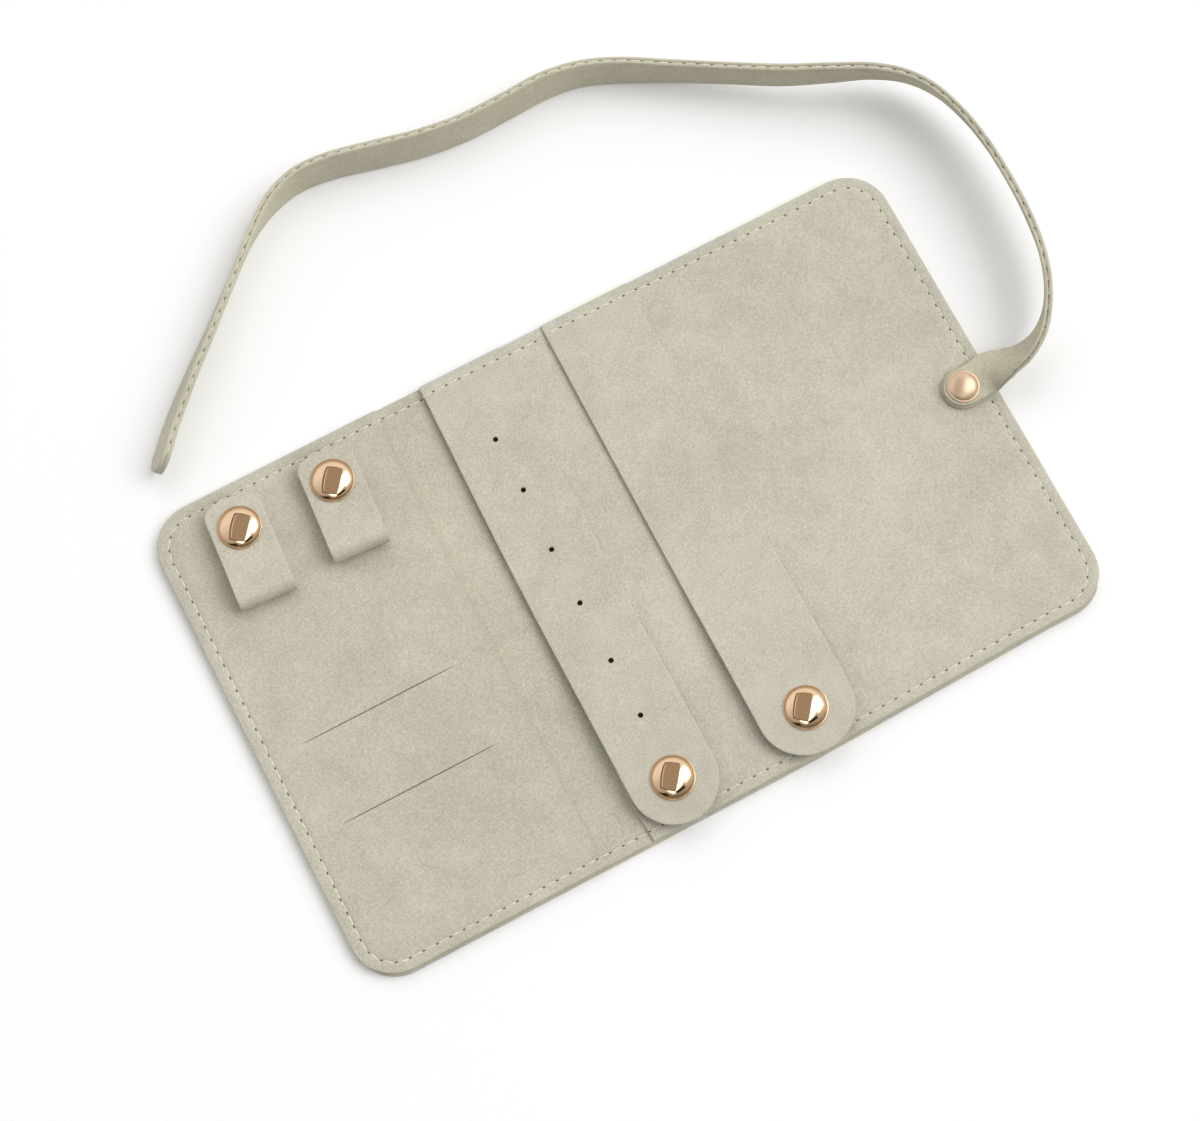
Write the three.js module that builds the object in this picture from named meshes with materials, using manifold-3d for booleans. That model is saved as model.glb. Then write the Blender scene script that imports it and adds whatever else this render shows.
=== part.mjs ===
// Travel jewelry organizer, laid open and flat.
// Millimetres. X runs along the board, Y across it, Z up. The origin is on the underside,
// at the middle of the open board. The tie strap leaves the board at its right edge.

import * as THREE from 'three';
import { mergeVertices } from 'three/addons/utils/BufferGeometryUtils.js';
import Module from 'manifold-3d';

const wasm = await Module();
wasm.setup();

// The open board
const boardLength = 235;
const boardWidth = 147;
const cornerRadius = 13;

// The bottom edge as cut: straight at first, then running in towards the right corner
const taper = 2;
const taperFromX = 20;
const taperToX = 95;

// Sheets, from the outside in, and the strap material on top of them
const coverThickness = 1.25;
const liningThickness = 1;
const pocketThickness = 1;
const strapThickness = 1.25;

// Fold lines. Each spine is the strip between two of them.
const leftFoldX = -33;
const leftSpineWidth = 11;
const rightFoldX = 41.5;
const rightSpineWidth = 14;

// Pockets. The left one ends at the left spine, the right one under the earring strap.
const rightPocketEdgeX = -30.6;
const slitLength = 47;
const slitWidth = 0.4;
const firstSlitY = -3.6;
const slitPitch = 25.2;
const slitCount = 2;

// Earring and necklace straps. Each runs from its hem, sewn along the top edge, to its snap. It
// leans over in the first share of its length and is straight from there on. It lies on the
// pocket until its snap lifts it. Its end is round about the snap and flush with the bottom edge.
const earringStrapWidth = 25.7;
const earringHemX = -16.5;
const earringSnapX = -17.95;
const necklaceStrapWidth = 28.1;
const necklaceHemX = 24.1;
const necklaceSnapX = 23.85;
const leanShare = 0.62;
const hemWidth = 5;
const strapSnapInset = 13.05;
const strapGap = 0.15;
const gapRun = 10;
const strapLiftInset = 73.5;

// Pierced holes for earrings. The first is set in from the top edge. They are pierced by hand,
// so each is a little off its regular place, which is in line with the snap.
const piercingPitch = 17.95;
const firstPiercingInset = 24.5;
const piercingRadius = 0.8;
const piercingShifts = [[1.1, 0.1], [1.3, 1.1], [0.4, -0.1], [0.35, 0.4], [0.35, -0.4], [0.35, -0.1]];

// Ring loops, each folded from one strip. Their snaps are set in from the left and top edges.
const loopWidth = 16.9;
const loopTurn = -4;
const firstLoopInset = 24.7;
const loopPitch = 29.3;
const loopCount = 2;
const loopSnapInset = 14.5;
const snapToLoopTop = 9.6;
const loopEndRise = 5.6;
const loopEndPower = 2.8;
const snapToLoopFront = 22.2;
const bendInnerRadius = 1.75;

// Snap fasteners: a cap and a socket on the strap, a stud and its post on the panel
const snapStack = 2.5;
const capRadius = 6.35;
const capHeight = 2.2;
const capRim = 0.5;
const shankRadius = 1.5;
const shankBore = 0.9;
const socketRadius = 5.8;
const socketMouth = 2.85;
const socketLip = 0.5;
const socketRoof = 0.5;
const studRadius = 5;
const studFlange = 0.5;
const studHead = 2.45;
const studNeck = 2.1;
const studNeckHeight = 0.3;
const studHeadBand = 0.2;
const studHeight = 1.7;
const studRoof = 0.5;
const postRadius = 1;
const postFlangeRadius = 4;
const postFlange = 0.6;
const metalEdge = 0.4;
const padMargin = 1;
const clearance = 0.3;
const seatGap = 0.25;

// Rivet that holds the tie strap, set in from the right edge
const rivetInset = 9.2;
const rivetCapRadius = 4.75;
const rivetCapHeight = 1.9;
const rivetShank = 1.6;
const rivetBore = 1;
const rivetPin = 0.7;
const rivetFlangeRadius = 4;

// Tie strap: two plies, sewn at the edge
const tieWidth = 12;
const tieThickness = 2.4;
const tieSeam = 0.4;
const tieGap = 0.15;

// The tie strap's centreline, fitted to its edges in the photo and then rounded. Each point has
// its place from the rivet along X and Y, its height above the table, and its turn in degrees
// from flat to standing on edge.
const tieRoute = [
  [-6, 0, 4.6, 0], [0, 0, 4.6, 0], [5, 0, 4.6, 0], [9, 0.4, 5.6, 10], [13.5, 0, 7.4, 38],
  [19, 0, 9.5, 60], [24.5, 2, 11.4, 78], [29.5, 6.3, 12.5, 92], [34.2, 13.2, 13.2, 100],
  [37.8, 23, 13.8, 104], [39.7, 35, 14.1, 106], [40.3, 47, 14.3, 108], [40, 58.5, 14.3, 109],
  [38.5, 69.5, 14.1, 109], [35.3, 80, 13.7, 108], [30, 88.2, 13.1, 105], [22.5, 94.4, 12.3, 100],
  [12, 100, 11.2, 94],
  [-0.5, 106.5, 9.9, 91], [-14, 115, 8.6, 91], [-28, 123.8, 7.4, 89], [-42, 132.1, 6.6, 84],
  [-52.4, 136.5, 6.2, 83], [-63.5, 138.1, 6.2, 80], [-76, 137.7, 6.2, 80], [-90, 137.5, 6.2, 79],
  [-104, 139.2, 6.2, 78], [-118, 142.5, 6.2, 78], [-131, 145.4, 6.2, 80],
  [-141.5, 145.8, 6.2, 84], [-151.1, 142.8, 6.1, 92], [-160.2, 136.8, 6.1, 102],
  [-170, 128, 6.1, 106], [-182, 117.2, 6.1, 109], [-194.1, 106.5, 6.1, 113],
  [-205.4, 95.7, 6.1, 116], [-215, 85, 6, 118],
];
const stepsPerRoutePoint = 2;

// Fineness of the round pieces. Round ends stop a little short of a point.
const turnedSides = 24;
const domeSteps = 6;
const piercingSides = 16;
const cornerSteps = 12;
const strapSteps = 16;
const loopSteps = 8;
const bendSteps = 12;
const endSteps = 10;
const tieEndSteps = 6;
const endShare = 0.96;

// Places that follow from the sizes
const boardLeft = -boardLength / 2;
const boardRight = boardLength / 2;
const boardTop = boardWidth / 2;
const boardBottom = -boardWidth / 2;
const leftOuterFoldX = leftFoldX - leftSpineWidth;
const rightOuterFoldX = rightFoldX + rightSpineWidth;
const liningZ = coverThickness;
const pocketZ = liningZ + liningThickness;
const topZ = pocketZ + pocketThickness;
const hemY = boardTop - hemWidth;
const slitCentreX = (boardLeft + leftOuterFoldX) / 2;
const strapSnapY = boardBottom + strapSnapInset;
const firstPiercingY = boardTop - firstPiercingInset;
const firstLoopX = boardLeft + firstLoopInset;
const loopSnapY = boardTop - loopSnapInset;
const rivetX = boardRight - rivetInset;
const rivetCapZ = topZ + tieGap + tieThickness + tieGap;

// Finishes
const suede = (color) => new THREE.MeshStandardMaterial({ color, roughness: 0.95, metalness: 0 });
const outerSuede = suede('#c3beaa');
const innerSuede = suede('#cdc8b4');
const pocketSuede = suede('#cbc6b2');
const strapSuede = suede('#cfcab6');
const roseGold = new THREE.MeshStandardMaterial({ color: '#d39d78', roughness: 0.12, metalness: 1 });
const plainBrass = new THREE.MeshStandardMaterial({ color: '#b89a66', roughness: 0.35, metalness: 1 });

const organizer = new THREE.Group();

/** Adds a piece to a group, by name. */
function addPiece(parent, name, geometry, material, x = 0, y = 0, z = 0) {
  const mesh = new THREE.Mesh(geometry, material);
  mesh.name = name;
  mesh.position.set(x, y, z);
  parent.add(mesh);
  return mesh;
}

/** A geometry's solid, for cutting. */
function toSolid(geometry) {
  const bare = geometry.clone();
  bare.deleteAttribute('normal');
  bare.deleteAttribute('uv');
  const merged = mergeVertices(bare, 1e-5);
  const vertProperties = new Float32Array(merged.attributes.position.array);
  const triVerts = new Uint32Array(merged.index.array);
  return new wasm.Manifold(new wasm.Mesh({ numProp: 3, vertProperties, triVerts }));
}

/** The geometry that is left after the cutters are taken away. */
function cut(geometry, cutters) {
  let solid = toSolid(geometry);
  for (const cutter of cutters) {
    solid = solid.subtract(toSolid(cutter));
  }
  const mesh = solid.getMesh();
  const result = new THREE.BufferGeometry();
  result.setAttribute('position', new THREE.BufferAttribute(mesh.vertProperties, 3));
  result.setIndex(new THREE.BufferAttribute(mesh.triVerts, 1));
  result.computeVertexNormals();
  return result;
}

/** An upright round cutter through anything between two heights. */
function roundCutter(x, y, radius, bottom, top, sides = turnedSides) {
  const cylinder = new THREE.CylinderGeometry(radius, radius, top - bottom, sides);
  cylinder.rotateX(Math.PI / 2);
  cylinder.translate(x, y, (bottom + top) / 2);
  return cylinder;
}

/**
 * A closed solid through a row of sections, which are lists of points. Seen from the row's end,
 * looking back, the points run anticlockwise. The outline gives their places in a flat section.
 */
function loft(sections, outline) {
  const count = outline.length;
  const positions = [];
  const index = [];
  for (const point of sections.flat()) {
    positions.push(point.x, point.y, point.z);
  }
  for (let i = 0; i + 1 < sections.length; i++) {
    for (let j = 0; j < count; j++) {
      const a = i * count + j;
      const b = i * count + (j + 1) % count;
      index.push(a, b, b + count, a, b + count, a + count);
    }
  }
  const last = (sections.length - 1) * count;
  for (const [a, b, c] of THREE.ShapeUtils.triangulateShape(outline, [])) {
    index.push(c, b, a, last + a, last + b, last + c);
  }
  const geometry = new THREE.BufferGeometry();
  geometry.setAttribute('position', new THREE.Float32BufferAttribute(positions, 3));
  geometry.setIndex(index);
  geometry.computeVertexNormals();
  return geometry;
}

const boxOutline = [[0, 0], [1, 0], [1, 1], [0, 1]].map(([x, y]) => new THREE.Vector2(x, y));

/** A strip of cloth along Y through rows, each with its y, left, right and underside. */
function strip(rows, thickness) {
  const ordered = [...rows].sort((a, b) => b.y - a.y);
  const sections = ordered.map(({ y, left, right, under }) => [
    new THREE.Vector3(left, y, under),
    new THREE.Vector3(right, y, under),
    new THREE.Vector3(right, y, under + thickness),
    new THREE.Vector3(left, y, under + thickness),
  ]);
  return loft(sections, boxOutline);
}

/**
 * Places back from the tip of a round end, each with its half width. The end leaves the straight
 * sides at the rise before the tip. Its power is 2 for an ellipse and more for a blunter end.
 */
function roundEnd(halfWidth, rise, power, steps) {
  const places = [];
  for (let i = 0; i <= steps; i++) {
    const angle = (i / steps) * endShare * (Math.PI / 2);
    const fromTip = rise * (1 - Math.sin(angle) ** (2 / power));
    places.push({ fromTip, half: halfWidth * Math.cos(angle) ** (2 / power) });
  }
  return places;
}

/**
 * Rows of a strip from its root to its snap and its round end, flat from the pad's edge on. The
 * root and the snap are places, and the tip is measured from the snap.
 */
function stripRows({ width, root, snap, padY, snapToTip, rise, power, underside, steps }) {
  const way = Math.sign(snap.y - root.y);
  const row = (y, half) => {
    const share = Math.min(1, (y - root.y) / (snap.y - root.y) / leanShare);
    const centre = THREE.MathUtils.lerp(root.x, snap.x, Math.sin((share * Math.PI) / 2));
    return { y, left: centre - half, right: centre + half, under: underside(y) };
  };
  const rows = [];
  for (let i = 0; i <= steps; i++) {
    rows.push(row(THREE.MathUtils.lerp(root.y, padY, i / steps), width / 2));
  }
  for (const { fromTip, half } of roundEnd(width / 2, rise, power, endSteps)) {
    rows.push(row(snap.y + way * (snapToTip - fromTip), half));
  }
  return rows;
}

/** A smooth rise from 0 to 1. */
function smooth(t) {
  const s = THREE.MathUtils.clamp(t, 0, 1);
  return s * s * (3 - 2 * s);
}

/** The board's bottom edge at a place along X. */
function bottomAt(x) {
  return boardBottom + taper * THREE.MathUtils.clamp((x - taperFromX) / (taperToX - taperFromX), 0, 1);
}

/** The part of the board's round-cornered outline between two places along X. */
function boardSlice(fromX, toX) {
  const shape = new THREE.Shape();
  const r = cornerRadius;
  const quarter = Math.PI / 2;
  const leftEnd = fromX === boardLeft ? r : 0;
  const rightEnd = toX === boardRight ? r : 0;
  shape.moveTo(fromX + leftEnd, bottomAt(fromX));
  for (const x of [taperFromX, taperToX]) {
    if (x > fromX && x < toX) shape.lineTo(x, bottomAt(x));
  }
  shape.lineTo(toX - rightEnd, bottomAt(toX));
  if (rightEnd) shape.absarc(toX - r, bottomAt(toX) + r, r, -quarter, 0);
  shape.lineTo(toX, boardTop - rightEnd);
  if (rightEnd) shape.absarc(toX - r, boardTop - r, r, 0, quarter);
  shape.lineTo(fromX + leftEnd, boardTop);
  if (leftEnd) shape.absarc(fromX + r, boardTop - r, r, quarter, 2 * quarter);
  shape.lineTo(fromX, bottomAt(fromX) + leftEnd);
  if (leftEnd) shape.absarc(fromX + r, boardBottom + r, r, 2 * quarter, 3 * quarter);
  return shape;
}

/** A round hole for a shape. */
function roundHole(x, y, radius) {
  const points = [];
  for (let i = 0; i < turnedSides; i++) {
    const angle = (i / turnedSides) * 2 * Math.PI;
    points.push(new THREE.Vector2(x + radius * Math.cos(angle), y + radius * Math.sin(angle)));
  }
  return new THREE.Path(points);
}

/** A flat sheet of a shape. */
function sheet(shape, thickness) {
  const options = { depth: thickness, bevelEnabled: false, curveSegments: cornerSteps };
  return new THREE.ExtrudeGeometry(shape, options);
}

/** A solid of revolution about the Z axis, from [radius, height] pairs that run upward outside. */
function turned(profile) {
  const points = profile.map(([radius, height]) => new THREE.Vector2(radius, height));
  const geometry = new THREE.LatheGeometry(points, turnedSides);
  geometry.rotateX(Math.PI / 2);
  return geometry;
}

// Snap fastener. Its strap half is placed by the strap's top face, its panel half by the panel's.

/** The domed cap, with its tubular shank through the strap. */
function snapCap() {
  const bottom = -strapThickness - (snapStack - studHeight - clearance);
  const profile = [[0, -capRim], [shankBore, -capRim], [shankBore, bottom], [shankRadius, bottom]];
  profile.push([shankRadius, 0], [capRadius - capRim / 2, 0], [capRadius, capRim / 2]);
  for (let i = 0; i < domeSteps; i++) {
    const angle = (i / domeSteps) * (Math.PI / 2);
    profile.push([capRadius * Math.cos(angle), capRim + (capHeight - capRim) * Math.sin(angle)]);
  }
  profile.push([0, capHeight]);
  return turned(profile);
}

/** The socket: a ring with a narrow mouth that the stud's head springs into. */
function snapSocket() {
  const height = snapStack - studFlange - seatGap;
  const hole = shankRadius + clearance;
  const chamber = socketMouth + socketLip;
  const edge = metalEdge;
  return turned([
    [socketMouth, 0], [socketRadius - edge, 0], [socketRadius, edge], [socketRadius, height - edge],
    [socketRadius - edge, height], [hole, height], [hole, height - socketRoof],
    [chamber, height - socketRoof], [chamber, edge], [socketMouth, edge / 2], [socketMouth, 0],
  ]);
}

/** The stud: a flange on the panel and a head that is wider than its neck. */
function snapStud() {
  const bore = postRadius + clearance;
  const boreTop = studHeight - studRoof;
  const headTop = studHeight - metalEdge;
  return turned([
    [bore, 0], [studRadius, 0], [studRadius, studFlange / 2], [studRadius - metalEdge, studFlange],
    [studNeck, studFlange], [studNeck, studFlange + studNeckHeight],
    [studHead, headTop - studHeadBand], [studHead, headTop], [studNeck, studHeight],
    [0, studHeight], [0, boreTop], [bore, boreTop], [bore, 0],
  ]);
}

/** The post under the stud: a flange below the pocket panel and a barrel up into the stud. */
function snapPost(panelStack) {
  const barrelTop = panelStack + studHeight - studRoof - clearance;
  const edge = metalEdge / 2;
  return turned([
    [0, -postFlange], [postFlangeRadius - edge, -postFlange], [postFlangeRadius, edge - postFlange],
    [postFlangeRadius, 0], [postRadius, 0], [postRadius, barrelTop], [0, barrelTop],
  ]);
}

/** One whole snap. The strap half and the panel half can be on different bodies. */
function addSnap(name, strapBody, panelBody, x, y, panelZ, stackZ) {
  const strapTop = panelZ + snapStack + strapThickness;
  addPiece(strapBody, `${name}_snap_cap`, snapCap(), roseGold, x, y, strapTop);
  const socketZ = panelZ + studFlange + seatGap;
  addPiece(strapBody, `${name}_snap_socket`, snapSocket(), plainBrass, x, y, socketZ);
  addPiece(panelBody, `${name}_snap_stud`, snapStud(), plainBrass, x, y, panelZ);
  addPiece(panelBody, `${name}_snap_post`, snapPost(panelZ - stackZ), plainBrass, x, y, stackZ);
}

// Board: the cover, the lining and the pockets, split at the fold lines

const loopXs = Array.from({ length: loopCount }, (_, i) => firstLoopX + i * loopPitch);
const flangeHole = postFlangeRadius + clearance;
const barrelHole = postRadius + clearance;
const strapSnapXs = [earringSnapX, necklaceSnapX];

const panels = [
  { name: 'left', from: boardLeft, to: leftOuterFoldX },
  { name: 'left_spine', from: leftOuterFoldX, to: leftFoldX },
  { name: 'middle', from: leftFoldX, to: rightFoldX },
  { name: 'right_spine', from: rightFoldX, to: rightOuterFoldX },
  { name: 'right', from: rightOuterFoldX, to: boardRight },
];

for (const { name, from, to } of panels) {
  addPiece(organizer, `cover_${name}`, sheet(boardSlice(from, to), coverThickness), outerSuede);
  const lining = boardSlice(from, to);
  if (name === 'left') {
    lining.holes.push(...loopXs.map((x) => roundHole(x, loopSnapY, flangeHole)));
  }
  if (name === 'middle') {
    lining.holes.push(...strapSnapXs.map((x) => roundHole(x, strapSnapY, flangeHole)));
  }
  if (name === 'right') {
    lining.holes.push(roundHole(rivetX, 0, rivetFlangeRadius + clearance));
  }
  addPiece(organizer, `lining_${name}`, sheet(lining, liningThickness), innerSuede, 0, 0, liningZ);
}

const leftPocket = boardSlice(boardLeft, leftOuterFoldX);
leftPocket.holes.push(...loopXs.map((x) => roundHole(x, loopSnapY, barrelHole)));
for (let i = 0; i < slitCount; i++) {
  const y = firstSlitY - i * slitPitch;
  const slit = new THREE.Path();
  slit.moveTo(slitCentreX - slitLength / 2, y);
  slit.lineTo(slitCentreX, y + slitWidth / 2);
  slit.lineTo(slitCentreX + slitLength / 2, y);
  slit.lineTo(slitCentreX, y - slitWidth / 2);
  leftPocket.holes.push(slit);
}
addPiece(organizer, 'left_pocket', sheet(leftPocket, pocketThickness), pocketSuede, 0, 0, pocketZ);

const middlePocket = boardSlice(rightPocketEdgeX, rightFoldX);
middlePocket.holes.push(...strapSnapXs.map((x) => roundHole(x, strapSnapY, barrelHole)));
const spinePocket = boardSlice(rightFoldX, rightOuterFoldX);
const rightPocket = boardSlice(rightOuterFoldX, boardRight);
rightPocket.holes.push(roundHole(rivetX, 0, rivetShank + clearance));
for (const [name, shape] of [['middle', middlePocket], ['spine', spinePocket], ['right', rightPocket]]) {
  addPiece(organizer, `right_pocket_${name}`, sheet(shape, pocketThickness), pocketSuede, 0, 0, pocketZ);
}

// Earring and necklace straps

/** A strap's free length. Its underside rises a hair off the pocket, then to the top of its snap. */
function strapLeaf(width, hemX, snapX) {
  const root = new THREE.Vector2(hemX, hemY - clearance);
  const snap = new THREE.Vector2(snapX, strapSnapY);
  const padY = strapSnapY + capRadius + padMargin;
  const liftY = boardTop - strapLiftInset;
  const underside = (y) => {
    const lift = (snapStack - strapGap) * smooth((liftY - y) / (liftY - padY));
    return topZ + strapGap * smooth((root.y - y) / gapRun) + lift;
  };
  const ends = { snapToTip: strapSnapInset, rise: strapSnapInset, power: 2 };
  const rows = stripRows({ width, root, snap, padY, ...ends, underside, steps: strapSteps });
  return strip(rows, strapThickness);
}

/** A strap with its hem, its free length and its snap. */
function addStrap(name, width, hemX, snapX, piercings) {
  const hem = new THREE.BoxGeometry(width, hemWidth, strapThickness);
  const hemZ = topZ + strapThickness / 2;
  addPiece(organizer, `${name}_hem`, hem, strapSuede, hemX, boardTop - hemWidth / 2, hemZ);
  const highZ = topZ + snapStack + 2 * strapThickness;
  const cutters = [roundCutter(snapX, strapSnapY, shankRadius + clearance, 0, highZ)];
  for (const [x, y] of piercings) {
    cutters.push(roundCutter(x, y, piercingRadius, 0, highZ, piercingSides));
  }
  addPiece(organizer, `${name}_leaf`, cut(strapLeaf(width, hemX, snapX), cutters), strapSuede);
  addSnap(name, organizer, organizer, snapX, strapSnapY, topZ, pocketZ);
}

const piercings = piercingShifts.map(([x, y], i) => {
  return [earringSnapX + x, firstPiercingY - i * piercingPitch + y];
});
addStrap('earring_strap', earringStrapWidth, earringHemX, earringSnapX, piercings);
addStrap('necklace_strap', necklaceStrapWidth, necklaceHemX, necklaceSnapX, []);

// Ring loops. In a loop's own frame the snap is at the origin and the panel's face at height 0.

const bendOuterRadius = bendInnerRadius + strapThickness;
const bendY = bendOuterRadius - snapToLoopFront;
const bendZ = bendOuterRadius;
const loopPadY = -capRadius - padMargin;

/** A loop's strip from the bend to its round top end. */
function loopStrip(underside) {
  const root = new THREE.Vector2(0, bendY + clearance);
  const snap = new THREE.Vector2(0, 0);
  const ends = { padY: loopPadY, snapToTip: snapToLoopTop, rise: loopEndRise, power: loopEndPower };
  const rows = stripRows({ width: loopWidth, root, snap, ...ends, underside, steps: loopSteps });
  return strip(rows, strapThickness);
}

/** The half-round bend that joins the base to the leaf. */
function loopBend() {
  const sections = [];
  const [left, right] = [-loopWidth / 2, loopWidth / 2];
  for (let i = 0; i <= bendSteps; i++) {
    const angle = -Math.PI / 2 - (i / bendSteps) * Math.PI;
    const at = (x, radius) => {
      const [along, up] = [radius * Math.cos(angle), radius * Math.sin(angle)];
      return new THREE.Vector3(x, bendY + along, bendZ + up);
    };
    sections.push([
      at(left, bendOuterRadius), at(right, bendOuterRadius),
      at(right, bendInnerRadius), at(left, bendInnerRadius),
    ]);
  }
  return loft(sections, boxOutline);
}

loopXs.forEach((x, i) => {
  const name = `ring_loop_${i + 1}`;
  const loop = new THREE.Group();
  loop.position.set(x, loopSnapY, topZ);
  loop.rotation.z = THREE.MathUtils.degToRad(loopTurn);
  organizer.add(loop);
  const highZ = bendZ + 2 * bendOuterRadius;
  const base = cut(loopStrip(() => 0), [roundCutter(0, 0, barrelHole, -strapThickness, highZ)]);
  addPiece(loop, `${name}_base`, base, strapSuede);
  addPiece(loop, `${name}_bend`, loopBend(), strapSuede);
  const bendTop = bendZ + bendInnerRadius;
  const snapTop = strapThickness + snapStack;
  const underside = (y) => bendTop + (snapTop - bendTop) * smooth((y - bendY) / (loopPadY - bendY));
  const leaf = cut(loopStrip(underside), [roundCutter(0, 0, shankRadius + clearance, 0, highZ)]);
  addPiece(loop, `${name}_leaf`, leaf, strapSuede);
  addSnap(name, loop, loop, 0, 0, strapThickness, -pocketThickness);
});

// Rivet and tie strap

/** The rivet's domed cap, with its tubular shank down through the strap and the pocket. */
function rivetCap() {
  const bottom = pocketZ + seatGap - rivetCapZ;
  const boreTop = -tieThickness / 2;
  const profile = [[0, boreTop], [rivetBore, boreTop], [rivetBore, bottom], [rivetShank, bottom]];
  profile.push([rivetShank, 0], [rivetCapRadius, 0], [rivetCapRadius, metalEdge]);
  const dome = rivetCapRadius - metalEdge;
  for (let i = 0; i < domeSteps; i++) {
    const angle = (i / domeSteps) * (Math.PI / 2);
    const height = metalEdge + (rivetCapHeight - metalEdge) * Math.sin(angle);
    profile.push([dome * Math.cos(angle), height]);
  }
  profile.push([0, rivetCapHeight]);
  return turned(profile);
}

/** The rivet's hidden half: a flange in the lining's hole and a pin up into the shank. */
function rivetBack() {
  const pinTop = rivetCapZ - tieThickness / 2 - clearance - pocketZ;
  return turned([
    [0, -postFlange], [rivetFlangeRadius, -postFlange], [rivetFlangeRadius, 0],
    [rivetPin, 0], [rivetPin, pinTop], [0, pinTop],
  ]);
}

addPiece(organizer, 'rivet_cap', rivetCap(), roseGold, rivetX, 0, rivetCapZ);
addPiece(organizer, 'rivet_back', rivetBack(), plainBrass, rivetX, 0, pocketZ);

/** The tie strap's section, two plies with rounded edges and a groove at the seam on each side. */
function tieSection() {
  const [w, t, s] = [tieWidth / 2, tieThickness / 2, tieSeam];
  const half = [[w - s, -t], [w, s - t], [w, -s / 2], [w - s, 0], [w, s / 2], [w, t - s], [w - s, t]];
  const other = half.map(([x, y]) => [-x, -y]);
  return [...half, ...other].map(([x, y]) => new THREE.Vector2(x, y));
}

/** Places along the tie strap, each with its half width, from one round end to the other. */
function tiePlaces(length) {
  const half = tieWidth / 2;
  const tip = roundEnd(half, half, 2, tieEndSteps);
  const places = tip.map(({ fromTip, half: narrow }) => ({ at: fromTip, half: narrow })).reverse();
  const steps = (tieRoute.length - 1) * stepsPerRoutePoint;
  for (let i = 1; i < steps; i++) {
    const at = (i / steps) * length;
    if (at > half && at < length - half) places.push({ at, half });
  }
  return [...places, ...tip.map(({ fromTip, half: narrow }) => ({ at: length - fromTip, half: narrow }))];
}

/** The tie strap, swept along its route and turned about it, with round ends. */
function tieStrap() {
  const outline = tieSection();
  const line = new THREE.CatmullRomCurve3(tieRoute.map(([x, y, z]) => new THREE.Vector3(x, y, z)));
  const turns = new THREE.CatmullRomCurve3(tieRoute.map(([, , , turn]) => new THREE.Vector3(turn, 0, 0)));
  const up = new THREE.Vector3(0, 0, 1);
  const length = line.getLength();
  const sections = tiePlaces(length).map(({ at, half }) => {
    const t = line.getUtoTmapping(at / length);
    const centre = line.getPoint(t);
    const tangent = line.getTangent(t);
    const left = new THREE.Vector3().crossVectors(up, tangent).normalize();
    const above = new THREE.Vector3().crossVectors(tangent, left);
    const turn = THREE.MathUtils.degToRad(turns.getPoint(t).x);
    const [cosine, sine] = [Math.cos(turn), Math.sin(turn)];
    const across = left.clone().multiplyScalar(cosine).addScaledVector(above, -sine);
    const normal = above.clone().multiplyScalar(cosine).addScaledVector(left, sine);
    const narrow = half / (tieWidth / 2);
    const place = (p) => centre.clone().addScaledVector(across, p.x * narrow).addScaledVector(normal, p.y);
    return outline.map(place);
  });
  return loft(sections, outline);
}

const tieHole = roundCutter(0, 0, rivetShank + clearance, 0, rivetCapZ + rivetCapHeight);
addPiece(organizer, 'tie_strap', cut(tieStrap(), [tieHole]), strapSuede, rivetX, 0, 0);

export default organizer;
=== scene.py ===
"""Travel jewelry organizer, laid open and flat, in pale microsuede with rose gold snaps.

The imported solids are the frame. The sheets, straps, threads and metal parts are built over them.
All lengths are in metres. X runs along the open board, Y across it and Z up out of its face.
"""

import bmesh
import bpy
import numpy as np
from mathutils import Euler, Matrix, Vector


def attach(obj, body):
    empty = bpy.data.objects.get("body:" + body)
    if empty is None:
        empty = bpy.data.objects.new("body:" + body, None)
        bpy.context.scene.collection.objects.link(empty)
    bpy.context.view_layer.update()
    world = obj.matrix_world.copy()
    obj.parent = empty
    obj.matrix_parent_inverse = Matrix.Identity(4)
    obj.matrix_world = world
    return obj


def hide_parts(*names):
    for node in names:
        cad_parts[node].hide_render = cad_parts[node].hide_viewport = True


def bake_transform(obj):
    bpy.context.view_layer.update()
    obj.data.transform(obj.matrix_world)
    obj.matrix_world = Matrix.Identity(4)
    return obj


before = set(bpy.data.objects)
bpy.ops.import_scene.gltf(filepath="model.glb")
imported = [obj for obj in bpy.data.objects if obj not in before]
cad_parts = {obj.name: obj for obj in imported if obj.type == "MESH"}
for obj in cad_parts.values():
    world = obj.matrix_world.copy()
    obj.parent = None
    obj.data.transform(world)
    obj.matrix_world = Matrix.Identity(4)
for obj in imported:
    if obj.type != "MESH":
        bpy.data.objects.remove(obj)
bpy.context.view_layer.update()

MM = 0.001


# Cover. One sheet of microsuede under everything, with its nap outwards. It is cut with round
# corners and bends at four fold lines. It is made in four lengths, each with one of the folds,
# and the lengths meet half way between two folds.

BOARD_END = 117.5 * MM
BOARD_SIDE = 73.5 * MM
CORNER = 13 * MM
TAPER = 2 * MM
TAPER_X = (20 * MM, 95 * MM)
LEFT_FOLDS = (-44 * MM, -33 * MM)
RIGHT_FOLDS = (41.5 * MM, 55.5 * MM)
FOLD_REACH = 3.5 * MM
LEFT_JOIN = sum(LEFT_FOLDS) / 2
MIDDLE_JOIN = 4 * MM
RIGHT_JOIN = sum(RIGHT_FOLDS) / 2
COVER_TOP = 1.25 * MM
COVER_OUT = 0.5 * MM
SEAM_INSET = 3.3 * MM
SEAM_DIP = 0.28 * MM
EDGE_ROLL = 0.35 * MM
GRID_STEP = 2.5 * MM
EDGE_LINES = np.array([
    0, 0.1, 0.2, 0.4, 0.8, 1.5, 2.2, 2.7, 3, 3.2, 3.4, 3.6, 3.9, 4.4, 5.2, 6.4, 8,
]) * MM


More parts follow.
